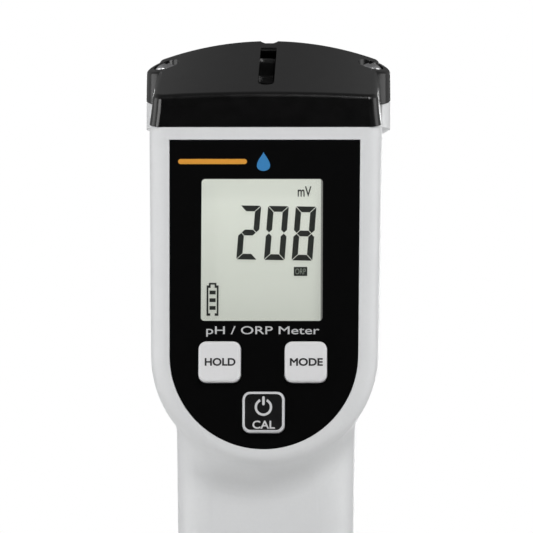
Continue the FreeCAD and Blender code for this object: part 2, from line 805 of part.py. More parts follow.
def cover_crown():
    """The cover's upper side: a slope that bows more and more up to the ridge, then falls away."""
    crown = new_body("cover_crown", HEAD)
    outlines = []
    for i, (depth, top, drop) in enumerate((
        ("0", "crease_z", "0.9"), ("ridge_y", "ridge_z", "6.4"), ("head_depth + 2", "rear_z", "6.0"),
    )):
        sketch = sketch_on(crown, f"crown_section_{i}", "XZ", f"-({depth})")
        arched(sketch, "25", "30", top, drop)
        outlines.append(sketch)
    loft(crown, outlines, True)
    return crown


def cover_outer():
    """Drafted sides whose sections are parallel to the seam, under the crown, with two ears."""
    sides = new_body("cover_sides", SEAM)
    sketches = []
    for i, (height, half) in enumerate((("-2", "19.35"), ("2.2", "18.65"), ("18", "20.5"))):
        sketch = sketch_on(sides, f"cover_section_{i}", "XY", height)
        front = f"{height} * tan(seam_angle) - 0.02"
        back = f"head_depth / cos(seam_angle) + {height} * tan(seam_angle)"
        rounded(sketch, f"-{half}", half, front, back, "cover_corner", "back_round")
        sketches.append(sketch)
    loft(sides, sketches, False)
    crown = cover_crown()
    main = common("cover_main", [sides, crown])
    doc.recompute()
    low, rear = number("crease_z") - 1.2, number("ridge_y") + 0.4
    rim = top_edges(main.Shape, lambda p: p.z > low and (p.y < rear or p.z > 50))
    lumps = [soften_solid("cover_soft", main, "cover_round", rim)]
    for i, sign in enumerate(("-", "")):
        cone = doc.addObject("Part::Cone", f"cover_ear_{i}")
        cone.Placement = Placement(Vector(0, 0, 0), Rotation(Vector(0, 0, 1), 180 * i))
        for letter, text in zip("xyz", (f"{sign}ear_x", "ear_y", "38")):
            bind(cone, f"Placement.Base.{letter}", text)
        bind(cone, "Radius1", "ear_radius + 0.12")
        bind(cone, "Radius2", "ear_radius - 0.1")
        bind(cone, "Height", "22")
        ear = common(f"ear_lump_{i}", [group(f"ear_in_head_{i}", [cone], HEAD), crown])
        doc.recompute()
        rim = top_edges(ear.Shape, lambda p: p.z > 47)
        lumps.append(soften_solid(f"ear_soft_{i}", ear, "ear_round", rim))
    return cut("cover_outer", fuse("cover_block", lumps), [below_seam("cover_floor", "-seam_gap")])


def battery_cover():
    outer = cover_outer()
    spigot = cut("spigot", box("spigot_block",
                 ("-well_half + slide_gap", "well_front + slide_gap", "spigot_low"),
                 ("2 * (well_half - slide_gap)", "well_back - well_front - 2 * slide_gap", "9")),
                 [box("spigot_groove", ("-20", "0", "40"), ("40", "40", "1.2"))])
    core = box("spigot_core", ("-well_half + slide_gap + 0.7", "well_front + slide_gap + 0.7",
                               "spigot_low"),
               ("2 * (well_half - slide_gap - 0.7)", "well_back - well_front - 2 * slide_gap - 1.4",
                "9"))
    plug = fuse("spigot_full", [spigot, core], HEAD)
    trimmed = common("spigot_trim", [plug, CASE])
    full = fuse("cover_full", [outer, trimmed])

    inner = box("cover_room", ("-well_half + slide_gap + spigot_wall + 0.3",
                               "well_front + slide_gap + spigot_wall + 0.3", "30"),
                ("2 * (well_half - slide_gap - spigot_wall - 0.3)",
                 "well_back - well_front - 2 * slide_gap - 2 * spigot_wall - 0.6", "17"))
    pocket = box("cover_front_pocket", ("-15.5", "2.3", "30"), ("31", "6.4", "11.4"))
    plan = fuse("slot_plan", [
        rod("slot_low_end", ("0", "slot_low + slot_half", "40"), "slot_half", "30"),
        box("slot_straight", ("-slot_half", "slot_low + slot_half", "40"),
            ("2 * slot_half", "slot_high - slot_low - slot_half - 2", "30")),
    ])
    rise = "(ridge_z - crease_z) / ridge_y"
    depth_shape = sideways("slot_depth", [
        ("slot_low - 1", f"crease_z + {rise} * (slot_low - 1) - 0.3"),
        ("slot_low + 3", f"crease_z + {rise} * (slot_low + 3) - 2.6"),
        ("slot_high + 1", "bar_z - loop_radius + 0.6"),
        ("slot_high + 1", "70"),
        ("slot_low - 1", "70"),
    ], "5")
    scoop = cut("slot_scoop", common("slot_channel", [plan, depth_shape]),
                [rod("bar_keep_a", ("-5", "bar_y", "bar_z"), "bar_radius", "10", "x")])
    loop = cut("slot_loop", rod("loop_outer", ("-slot_half", "bar_y", "bar_z"), "loop_radius",
                                "2 * slot_half", "x"),
               [rod("bar_keep_b", ("-5", "bar_y", "bar_z"), "bar_radius", "10", "x")])
    notch = rod("ridge_notch", ("0", "ridge_y - 1.2", "ridge_z + 1.2"), "2", "6", "y")
    cuts = [inner, pocket, scoop, loop, notch]
    for i, sign in enumerate(("-", "")):
        spot = f"{sign}screw_x"
        cuts.append(rod(f"screw_recess_{i}", (spot, "ear_y", "49.8"), "2.15", "10"))
        cuts.append(rod(f"screw_clearance_{i}", (spot, "ear_y", "38"), "1.06", "14"))
        cuts.append(rod(f"seal_seat_{i}", (spot, "ear_y", "49.3"), "1.65", "1"))
    piece(cut("battery_cover", full, [fuse("cover_cuts", cuts, HEAD)]), "battery_cover")

    ring = cut("gasket_ring", box("gasket_outer",
               ("-well_half + 0.04", "well_front + 0.04", "40.05"),
               ("2 * (well_half - 0.04)", "well_back - well_front - 0.08", "1.1")),
               [box("gasket_inner", ("-well_half + slide_gap + 0.7", "well_front + slide_gap + 0.7", "39"),
                    ("2 * (well_half - slide_gap - 0.7)",
                     "well_back - well_front - 2 * slide_gap - 1.4", "4"))], HEAD)
    piece(ring, "cover_gasket")
    for side, sign in (("left", "-"), ("right", "")):
        spot = f"{sign}screw_x"
        part = screw(f"cover_screw_{side}", (spot, "ear_y", "41.8"), "0.95", "1.9", "1.3", "8.0", "z")
        part.Placement = HEAD
        piece(part, f"cover_screw_{side}")
        seal = cut(f"screw_seal_{side}", rod(f"seal_disc_{side}", (spot, "ear_y", "49.32"), "1.6", "0.46"),
                   [rod(f"seal_hole_{side}", (spot, "ear_y", "48"), "1.02", "4")], HEAD)
        piece(seal, f"screw_seal_{side}")
    inserts = [
        cut(f"insert_{i}", rod(f"insert_body_{i}", (f"{sign}screw_x", "ear_y", "41.2"), "1.6", "2.6"),
            [rod(f"insert_bore_{i}", (f"{sign}screw_x", "ear_y", "40"), "1.0", "9")])
        for i, sign in enumerate(("-", ""))
    ]
    piece(group("threaded_inserts", inserts, HEAD), "threaded_inserts")


# ---------------------------------------------------------------- face: label, window, keys
def front_label():
    body = new_body("front_label", HEAD)
    inward(body, "label_outline", "label_recess - label_thick", "label_thick",
           lambda s: round_end(s, "label_half_top", "label_top", "label_radius"))
    whole = body.Shape.Volume
    sketch = sketch_on(body, "label_openings", "XZ", "-label_recess")
    rounded(sketch, "window_centre - window_width / 2", "window_centre + window_width / 2",
            "window_low", "window_high", "0.6", "0.6")
    for across, up in (("hold_x", "upper_key_z"), ("mode_x", "upper_key_z"), ("0", "power_key_z")):
        wide, tall = "(key_width / 2 + key_gap)", "(key_height / 2 + key_gap)"
        rounded(sketch, f"{across} - {wide}", f"{across} + {wide}", f"{up} - {tall}",
                f"{up} + {tall}", "key_round + key_gap", "key_round + key_gap")
    doc.recompute()
    feature = body.newObject("PartDesign::Pocket", "label_cuts")
    feature.Profile = sketch
    feature.Type = 0
    feature.Length = 2
    feature.Midplane = True
    body.Tip = feature
    doc.recompute()
    assert body.Shape.Volume < whole - 50
    piece(body, "front_label")


def display_window():
    body = new_body("display_window", HEAD)
    half = "(window_width / 2 + pane_margin)"
    inward(body, "pane_outline", "label_recess", "pane_thick",
           lambda s: rounded(s, f"window_centre - {half}", f"window_centre + {half}",
                             "window_low - pane_margin", "window_high + pane_margin", "0.5", "0.5"))
    piece(body, "display_window")


def key(name, across, up, flange_tall, proud):
    body = new_body(name, HEAD)
    wide, tall = "key_width / 2", "key_height / 2"
    inward(body, f"{name}_cap", f"-({proud})", f"{proud} + flange_front",
           lambda s: rounded(s, f"{across} - {wide}", f"{across} + {wide}",
                             f"{up} - {tall}", f"{up} + {tall}", "key_round", "key_round"))
    front = -number(proud)
    soften(body, f"{name}_soft", "0.45", lambda p: near(p.y, front))
    inward(body, f"{name}_flange", "flange_front", "flange_back - flange_front",
           lambda s: rectangle(s, f"{across} - flange_wide / 2", f"{across} + flange_wide / 2",
                               f"{up} - {flange_tall} / 2", f"{up} + {flange_tall} / 2"))
    inward(body, f"{name}_stem", "flange_back", "stem_end - flange_back",
           lambda s: circle(s, across, up, "stem_radius"))
    return body


def keys():
    piece(key("hold_key", "hold_x", "upper_key_z", "flange_wide", "key_proud"), "hold_key")
    piece(key("mode_key", "mode_x", "upper_key_z", "flange_wide", "key_proud"), "mode_key")
    power = key("power_key_body", "0", "power_key_z", "7.6", "key_proud")
    power.Placement = Placement()
    seat = new_body("power_face_seat")
    rim = "(key_width / 2 - 0.42)"
    tall = "(key_height / 2 - 0.42)"
    draw = lambda s: rounded(s, f"-{rim}", rim, f"power_key_z - {tall}", f"power_key_z + {tall}",
                             "key_round - 0.35", "key_round - 0.35")
    inward(seat, "power_face_seat_outline", "-key_proud - 1", "1.3", draw)
    piece(cut("power_key", power, [seat], HEAD), "power_key")
    face = new_body("power_key_face", HEAD)
    inward(face, "power_face_outline", "-key_proud + 0.04", "0.26", draw)
    piece(face, "power_key_face")
    for name, across, up in (("hold", "hold_x", "upper_key_z"), ("mode", "mode_x", "upper_key_z"),
                             ("power", "0", "power_key_z")):
        part = rod(f"{name}_switch_pin", (across, "plunger_tip", up), "plunger_radius",
                   "plunger_end - plunger_tip", "y")
        piece(group(f"{name}_plunger_set", [part], HEAD), f"{name}_plunger")
    bodies = []
    for name, across, up in (("hold", "hold_x", "upper_key_z"), ("mode", "mode_x", "upper_key_z"),
                             ("power", "0", "power_key_z")):
        block = box(f"{name}_switch_block", (f"{across} - switch_width / 2", "switch_front",
                                             f"{up} - switch_width / 2"),
                    ("switch_width", "board_front - switch_front", "switch_width"))
        hole = rod(f"{name}_switch_hole", (across, "4", up), "plunger_radius + 0.07", "2.6", "y")
        bodies.append(cut(f"{name}_switch", block, [hole]))
    piece(group("switch_bodies", bodies, HEAD), "switch_bodies")

    mat = new_body("keypad_mat", HEAD)
    sketch = sketch_on(mat, "mat_outline", "XZ", "-flange_front")
    polygon(sketch, [("-12.2", "-7"), ("-8.3", "-13.5"), ("8.3", "-13.5"), ("12.2", "-7"),
                     ("12.2", "3.35"), ("-12.2", "3.35")])
    gap = "0.15"
    half = f"(flange_wide / 2 + {gap})"
    for across in ("hold_x", "mode_x"):
        rectangle(sketch, f"{across} - {half}", f"{across} + {half}",
                  f"upper_key_z - {half}", f"upper_key_z + {half}")
    rectangle(sketch, f"-{half}", half, "power_key_z - 3.8 - 0.1", "power_key_z + 3.8 + 0.1")
    for sign in ("-", ""):
        circle(sketch, f"{sign}{POST_X}", POST_Z, "1.85")
    pad(mat, sketch, "flange_back - flange_front", backwards=True)
    piece(mat, "keypad_mat")


# ---------------------------------------------------------------- display and circuit board
def display_and_board():
    glass = "2 * glass_half"
    front = box("front_glass", ("-glass_half", "glass_front", "glass_low"),
                (glass, "glass_thick", "glass_high - glass_low"))
    piece(group("lcd_front", [front], HEAD), "lcd_front_glass")
    rear = box("rear_glass", ("-glass_half", "glass_front + glass_thick", "glass_low"),
               (glass, "glass_thick", "glass_high - glass_low - 2.2"))
    piece(group("lcd_rear", [rear], HEAD), "lcd_rear_glass")
    strip = box("contact_strip", ("-10.5", "glass_front + glass_thick", "glass_high - 1.9"),
                ("21", "board_front - glass_front - glass_thick", "1.7"))
    piece(group("lcd_strip", [strip], HEAD), "lcd_connector")
    holder = cut("display_holder",
                 box("holder_block", ("-frame_half", "2.05", "3.6"), ("2 * frame_half", "4.9", "29.8")),
                 [box("holder_seat", ("-glass_half - 0.1", "1", "glass_low - 0.1"),
                      ("2 * glass_half + 0.2", "glass_front + 2 * glass_thick + 0.05 - 1",
                       "glass_high - glass_low + 0.2")),
                  box("holder_opening", ("-10.7", "3", "6"), ("21.4", "5", "25.9"))], HEAD)
    piece(holder, "lcd_frame")

    board = new_body("main_board", HEAD)
    sketch = sketch_on(board, "board_outline", "XZ", "-board_front")
    polygon(sketch, [("-board_half", "-6"), ("-8.5", "-12.4"), ("8.5", "-12.4"), ("board_half", "-6"),
                     ("board_half", "board_top"), ("-board_half", "board_top")])
    for sign in ("-", ""):
        circle(sketch, f"{sign}{POST_X}", POST_Z, "0.85")
    pad(board, sketch, "board_thick", backwards=True)
    piece(board, "main_board")

    screws = []
    for i, sign in enumerate(("-", "")):
        x = f"{sign}{POST_X}"
        shank = rod(f"board_shank_{i}", (x, "3.2", POST_Z), "0.72", "5.6", "y")
        head = rod(f"board_head_{i}", (x, "8.6", POST_Z), "1.4", "0.9", "y")
        slot = box(f"board_slot_{i}", (f"{x} - 1", "9.1", f"{POST_Z} - 0.2"), ("2", "1", "0.4"))
        screws.append(cut(f"board_screw_{i}", fuse(f"board_screw_solid_{i}", [shank, head]), [slot]))
    piece(group("board_screws", screws, HEAD), "board_screws")

    back = "board_front + board_thick"
    parts = [
        box("processor", ("-5", back, "19"), ("10", "0.8", "10")),
        box("memory_chip", ("6.5", back, "22"), ("4", "0.8", "5")),
        box("regulator", ("-11", back, "24"), ("3.2", "0.8", "3")),
        box("amplifier", ("-9", back, "2"), ("5", "1.6", "4")),
        box("reference_chip", ("4.5", back, "3"), ("3", "1.1", "3")),
        rod("crystal", ("9.5", back, "6"), "1.3", "3.2", "y"),
        rod("sounder", ("-8.4", back, "-3.2"), "3.4", "2.6", "y"),
        box("cable_header", ("-3.2", back, "-12.2"), ("6.4", "2.6", "3.6")),
        rod("capacitor_one", ("3.4", back, "9.2"), "1.5", "3.6", "y"),
        rod("capacitor_two", ("-1.4", back, "9.2"), "1.5", "3.6", "y"),
    ]
    for i in range(6):
        parts.append(box(f"resistor_{i}", (f"-2 + 1.9 * {i}", back, "-4.6"), ("0.8", "0.5", "1.6")))
    piece(group("board_components", parts, HEAD), "board_components")


def batteries():
    side = "(well_half - slide_gap)"
    block = box("carrier_block", (f"-{side}", "11", "carrier_low"),
                (f"2 * {side}", "14", "carrier_high - carrier_low"))
    stack = rod("carrier_bore", ("0", "cell_start - 0.05", "cell_centre"), "cell_radius + 0.1",
                "4 * cell_thick + 0.1", "y")
    mouth = box("carrier_mouth", ("-cell_radius - 0.1", "cell_start - 0.05", "cell_centre"),
                ("2 * cell_radius + 0.2", "4 * cell_thick + 0.1", "20"))
    view = rod("carrier_window", ("0", "0", "cell_centre"), "4.5", "40", "y")
    piece(cut("battery_carrier", block, [stack, mouth, view], HEAD), "battery_carrier")
    cells = []
    for i in range(4):
        start = f"cell_start + {i} * cell_thick"
        can = rod(f"cell_can_{i}", ("0", f"{start} + 0.25", "cell_centre"), "cell_radius",
                  "cell_thick - 0.27", "y")
        lid = rod(f"cell_lid_{i}", ("0", start, "cell_centre"), "cell_radius - 1.1", "0.4", "y")
        cells.append(fuse(f"cell_{i}", [can, lid]))
    piece(group("coin_cells", cells, HEAD), "coin_cells")
    plates = []
    for label, depth in (("front", "11.05"), ("back", "cell_start + 4 * cell_thick + 0.02")):
        plate = rod(f"contact_{label}_disc", ("0", depth, "cell_centre"), "4.4", "0.4", "y")
        plates.append(plate)
    piece(group("carrier_contacts", plates, HEAD), "carrier_contacts")
    leaves = []
    for i, across in enumerate(("-6", "3")):
        foot = box(f"leaf_foot_{i}", (across, "12", "well_floor"), ("3", "5", "0.25"))
        arm = box(f"leaf_arm_{i}", (across, "16.6", "well_floor"), ("3", "0.4", "0.9"))
        leaves.append(fuse(f"leaf_{i}", [foot, arm]))
    piece(group("battery_contacts", leaves, HEAD), "battery_contacts")


# ---------------------------------------------------------------- socket, collar, electrode
def signal_cable():
    body = new_body("signal_cable")
    path = sketch_on(body, "cable_path", "YZ")
    spots = [("0", "88.2"), ("0", "104"), ("-4.2", "114"), ("-4.2", "121.6")]
    places = [Vector(number(a), number(b), 0) for a, b in spots]
    for i in range(3):
        path.addGeometry(Part.LineSegment(places[i], places[i + 1]))
    for i in range(2):
        path.addConstraint(Sketcher.Constraint("Coincident", i, 2, i + 1, 1))
    for i, (across, up) in enumerate(spots[:3]):
        place_point(path, i, 1, across, up)
    place_point(path, 2, 2, *spots[3])
    ring = sketch_on(body, "cable_ring", "XY", "88.2")
    circle(ring, "0", "0", "1.5")
    doc.recompute()
    pipe = body.newObject("PartDesign::AdditivePipe", "cable_pipe")
    pipe.Profile = ring
    pipe.Spine = (path, ["Edge1", "Edge2", "Edge3"])
    pipe.Transition = 2
    body.Tip = pipe
    doc.recompute()
    piece(body, "signal_cable")


def pin_spots():
    return [("3", "0"), ("0", "3"), ("-3", "0"), ("0", "-3")]


def socket_and_collar():
    tube = turned("socket_tube", [
        ("socket_bore", "spigot_end"), ("spigot_radius", "spigot_end"),
        ("spigot_radius", "72.8"), ("spigot_radius - 0.7", "72.8"),
        ("spigot_radius - 0.7", "74"), ("spigot_radius", "74"),
        ("spigot_radius", "neck_end + 2.55"), ("socket_bore", "neck_end + 2.55"),
    ])
    flange = new_body("socket_flange")
    outline = sketch_on(flange, "flange_outline", "XY", "neck_end + 2.55")
    rounded(outline, "-11.6", "11.6", "-10.1", "10.1", "4", "4")
    pad(flange, outline, "2.45")
    seat = rod("socket_seat", ("0", "0", "70"), "6.0", "8")
    bore = rod("socket_bore_cut", ("0", "0", "60"), "socket_bore", "neck_end + 3 - 60")
    piece(cut("socket_housing", fuse("socket_solid", [tube, flange]), [seat, bore]),
          "socket_housing")

    stem = rod("sensor_socket_stem", ("0", "0", "neck_end + 3"), "5.95", "5")
    barrel = rod("sensor_socket_barrel", ("0", "0", "neck_end + 5.05"), "6.3", "11")
    holes = [rod(f"pin_seat_{i}", (a, b, "70"), "0.75", "20") for i, (a, b) in enumerate(pin_spots())]
    piece(cut("sensor_socket", fuse("sensor_socket_solid", [stem, barrel]), holes), "sensor_socket")
    pins = []
    for i, (a, b) in enumerate(pin_spots()):
        outer = rod(f"contact_sleeve_{i}", (a, b, "neck_end + 3.4"), "0.7", "12")
        hollow = rod(f"contact_hollow_{i}", (a, b, "70"), "0.42", "11")
        pins.append(cut(f"socket_pin_{i}", outer, [hollow]))
    piece(group("socket_pins", pins), "socket_pins")
    piece(turned("socket_seal", [
        ("spigot_radius - 0.68", "72.85"), ("spigot_radius + 0.03", "72.85"),
        ("spigot_radius + 0.03", "73.95"), ("spigot_radius - 0.68", "73.95"),
    ]), "socket_seal")

    ring = turned("collar_ring", [
        ("body_radius + 0.08", "collar_low"), ("collar_radius - 1.2", "collar_low"),
        ("collar_radius - 0.3", "collar_low + 1.2"), ("collar_radius - 0.3", "collar_high - 0.8"),
        ("collar_radius - 0.9", "collar_high"), ("spigot_radius + 0.06", "collar_high"),
        ("spigot_radius + 0.06", "collar_low + 2.4"), ("body_radius + 0.08", "collar_low + 2.4"),
    ])
    rib = new_body("collar_rib_body")
    rib.AllowCompound = True
    first = sketch_on(rib, "rib_outline", "XY", "collar_low + 1.6")
    rectangle(first, "collar_radius - 0.8", "collar_radius", "-0.45", "0.45")
    feature = pad(rib, first, "collar_high - collar_low - 3")
    array = rib.newObject("PartDesign::PolarPattern", "rib_array")
    array.Originals = [feature]
    axis = [item for item in rib.Origin.OriginFeatures if item.Role == "Z_Axis"][0]
    array.Axis = (axis, [""])
    array.Angle = 360
    array.Occurrences = 30
    rib.Tip = array
    doc.recompute()
    piece(fuse("collar_solid", [ring, rib]), "electrode_collar")


def electrode():
    shaft = turned("electrode_shaft", [
        ("0", "50"), ("body_radius", "50"), ("body_radius", "60.5"), ("spigot_radius - 0.2", "60.5"),
        ("spigot_radius - 0.2", "spigot_end - 0.05"), ("plug_radius", "spigot_end - 0.05"),
        ("plug_radius", "67.2"), ("plug_radius - 1", "67.2"), ("plug_radius - 1", "68.7"),
        ("plug_radius", "68.7"), ("plug_radius", "73.2"), ("plug_radius - 0.6", "73.8"),
        ("0", "73.8"),
    ])
    cuts = [rod("tube_seat", ("0", "0", "40"), "tube_radius + 0.02", "19.5")]
    cuts += [rod(f"plug_pin_seat_{i}", (a, b, "66"), "0.4", "10") for i, (a, b) in enumerate(pin_spots())]
    piece(cut("electrode_body", shaft, cuts), "electrode_body")
    pins = [rod(f"plug_pin_{i}", (a, b, "66.2"), "0.38", "12.4") for i, (a, b) in enumerate(pin_spots())]
    piece(group("electrode_plug_pins", pins), "electrode_plug_pins")
    piece(turned("electrode_seal", [
        ("plug_radius - 0.98", "67.25"), ("socket_bore - 0.05", "67.25"),
        ("socket_bore - 0.05", "68.65"), ("plug_radius - 0.98", "68.65"),
    ]), "electrode_seal")
    piece(turned("probe_tube", [
        ("tube_bore", "tube_low"), ("tube_radius", "tube_low"), ("tube_radius", "59.4"),
        ("tube_bore", "59.4"),
    ]), "probe_tube")
    plug = turned("end_plug_solid", [
        ("0", "15.6"), ("4.0", "15.6"), ("4.0", "17.4"), ("tube_bore - 0.02", "17.4"),
        ("tube_bore - 0.02", "21"), ("0", "21"),
    ])
    piece(cut("probe_end_plug", plug, [
        rod("stem_hole", ("0", "0", "10"), "2.62", "20"),
        rod("junction_hole", ("3.3", "0", "10"), "0.52", "20"),
        rod("sensor_hole", ("-3.3", "0", "10"), "0.52", "20"),
    ]), "probe_end_plug")
    guard = turned("guard_ring", [
        ("tube_bore + 0.1", "9.5"), ("tube_radius - 0.3", "9.5"), ("tube_radius", "9.9"),
        ("tube_radius", "tube_low - 0.02"), ("tube_bore + 0.1", "tube_low - 0.02"),
    ])
    slots = [
        box("guard_slot_x", ("-10", "-1.6", "9"), ("20", "3.2", "5.2")),
        box("guard_slot_y", ("-1.6", "-10", "9"), ("3.2", "20", "5.2")),
    ]
    piece(cut("probe_guard", guard, slots), "probe_guard")
    bulb = fuse("bulb_outer", [ball("bulb_ball", ("0", "0", "13.4"), "3.2"),
                               rod("bulb_stem", ("0", "0", "13.4"), "2.6", "28")])
    hollow = fuse("bulb_inner", [ball("bulb_room", ("0", "0", "13.4"), "2.8"),
                                 rod("stem_room", ("0", "0", "13.4"), "2.1", "40")])
    piece(cut("glass_bulb", bulb, [hollow]), "glass_bulb")
    wire = rod("inner_wire", ("0", "0", "13"), "0.35", "43")
    cork = rod("inner_cork", ("0", "0", "41.5"), "2.6", "3")
    piece(fuse("inner_electrode", [wire, cork]), "inner_electrode")
    piece(group("junction_set", [rod("junction_pin", ("3.3", "0", "15.5"), "0.5", "6.5")]),
          "reference_junction")
    piece(group("sensor_set", [rod("sensor_pin", ("-3.3", "0", "15.1"), "0.5", "30")]),
          "temperature_sensor")
    piece(turned("platinum_ring", [
        ("4.02", "15.9"), ("4.35", "15.9"), ("4.35", "16.9"), ("4.02", "16.9"),
    ]), "platinum_ring")


def protective_cap():
    piece(turned("protective_cap", [
        ("0", "0"), ("foot_radius - 0.5", "0"), ("foot_radius", "0.5"), ("foot_radius", "2.2"),
        ("foot_radius - 1", "3"), ("cap_radius", "4.4"), ("cap_radius", "52"),
        ("cap_radius + 0.5", "52.6"), ("cap_radius + 0.5", "cap_high - 0.5"),
        ("cap_radius", "cap_high"), ("body_radius + 0.08", "cap_high"),
        ("body_radius + 0.08", "49.9"), ("8.6", "49.2"), ("8.6", "2.4"), ("0", "2.4"),
    ]), "protective_cap")
    sponge = turned("sponge_block", [("0", "2.42"), ("8.5", "2.42"), ("8.5", "9.2"), ("0", "9.2")])
    piece(cut("cap_sponge", sponge, [rod("sponge_dent", ("0", "0", "7.5"), "3.4", "5")]), "cap_sponge")


front_housing()
rear_housing()
piece(gasket_body("housing_gasket", HEAD), "housing_gasket")
housing_screws()
battery_cover()
front_label()
display_window()
keys()
display_and_board()
batteries()
signal_cable()
socket_and_collar()
electrode()
protective_cap()
doc.recompute()

os.makedirs("parts", exist_ok=True)
for thing in doc.Objects:
    assert "Invalid" not in thing.State and "Error" not in thing.State, (thing.Name, thing.State)
for thing in PIECES:
    shape = thing.Shape
    assert not shape.isNull() and shape.isValid() and shape.Volume > 0, thing.Label
    shape.exportStep(f"parts/{thing.Label}.step")
    limits = shape.BoundBox
    print(f"{thing.Label:22s} solids {len(shape.Solids):2d} volume {shape.Volume:9.1f} "
          f"x {limits.XMin:6.1f} {limits.XMax:6.1f} y {limits.YMin:6.1f} {limits.YMax:6.1f} "
          f"z {limits.ZMin:6.1f} {limits.ZMax:6.1f}")
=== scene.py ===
import json
import math

import bmesh
import bpy
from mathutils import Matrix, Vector


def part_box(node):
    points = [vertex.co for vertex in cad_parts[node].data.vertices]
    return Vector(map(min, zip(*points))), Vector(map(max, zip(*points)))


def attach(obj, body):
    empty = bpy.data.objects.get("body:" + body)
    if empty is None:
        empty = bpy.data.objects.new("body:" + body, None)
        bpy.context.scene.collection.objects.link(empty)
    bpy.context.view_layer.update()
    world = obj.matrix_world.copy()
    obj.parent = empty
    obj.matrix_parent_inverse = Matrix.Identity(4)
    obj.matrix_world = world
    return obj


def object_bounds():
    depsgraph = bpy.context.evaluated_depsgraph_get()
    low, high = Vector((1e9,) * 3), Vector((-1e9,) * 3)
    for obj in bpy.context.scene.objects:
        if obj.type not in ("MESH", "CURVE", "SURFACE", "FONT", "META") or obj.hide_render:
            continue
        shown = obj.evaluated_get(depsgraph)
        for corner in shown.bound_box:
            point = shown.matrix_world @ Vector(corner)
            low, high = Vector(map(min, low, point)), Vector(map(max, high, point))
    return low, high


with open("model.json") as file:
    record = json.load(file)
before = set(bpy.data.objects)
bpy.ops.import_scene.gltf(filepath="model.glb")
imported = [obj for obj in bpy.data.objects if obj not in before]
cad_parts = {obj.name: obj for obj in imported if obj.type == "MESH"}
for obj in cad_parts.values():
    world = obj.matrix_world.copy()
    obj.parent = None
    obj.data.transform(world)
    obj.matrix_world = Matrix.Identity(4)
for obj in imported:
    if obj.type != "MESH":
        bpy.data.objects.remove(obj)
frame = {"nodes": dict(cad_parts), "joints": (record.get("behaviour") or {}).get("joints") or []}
CAD_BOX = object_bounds()
MM = 0.001
NODES = frame["nodes"]
JOINTS = {joint["name"]: joint for joint in frame["joints"]}

# The head leans back, and the keys move square to its face.
# Places on the face are given along three directions: across it, into it and up it.
ACROSS = Vector((1.0, 0.0, 0.0))
INTO = Vector(JOINTS["hold_press"]["axis"]).normalized()
UP = ACROSS.cross(INTO)

INK = 0.03 * MM        # thickness of printed ink


# ---------------------------------------------------------------- places on the face

class Extent:
    """How far a CAD node reaches along the directions of the face, in metres."""

    def __init__(self, node):
        points = [vertex.co for vertex in NODES[node].data.vertices]
        across = [point.dot(ACROSS) for point in points]
        depth = [point.dot(INTO) for point in points]
        height = [point.dot(UP) for point in points]
        self.left, self.right = min(across), max(across)
        self.front = min(depth)
        self.bottom, self.top = min(height), max(height)
        self.middle = (self.left + self.right) / 2
        self.centre = (self.bottom + self.top) / 2


def on_face(across, depth, height):
    """World point for a place given along the three directions of the face."""
    return across * ACROSS + depth * INTO + height * UP


LABEL = Extent("front_label")
WINDOW = Extent("display_window")
REFLECTOR = Extent("lcd_rear_glass")
HOLD = Extent("hold_key")
MODE = Extent("mode_key")
POWER = Extent("power_key")
POWER_FACE = Extent("power_key_face")

WINDOW_LAP = 1.0 * MM      # how far the window plate reaches under the label's opening
GLASS_LEFT = WINDOW.left + WINDOW_LAP
GLASS_RIGHT = WINDOW.right - WINDOW_LAP
GLASS_TOP = WINDOW.top - WINDOW_LAP
GLASS_BOTTOM = WINDOW.bottom + WINDOW_LAP


# ---------------------------------------------------------------- node materials

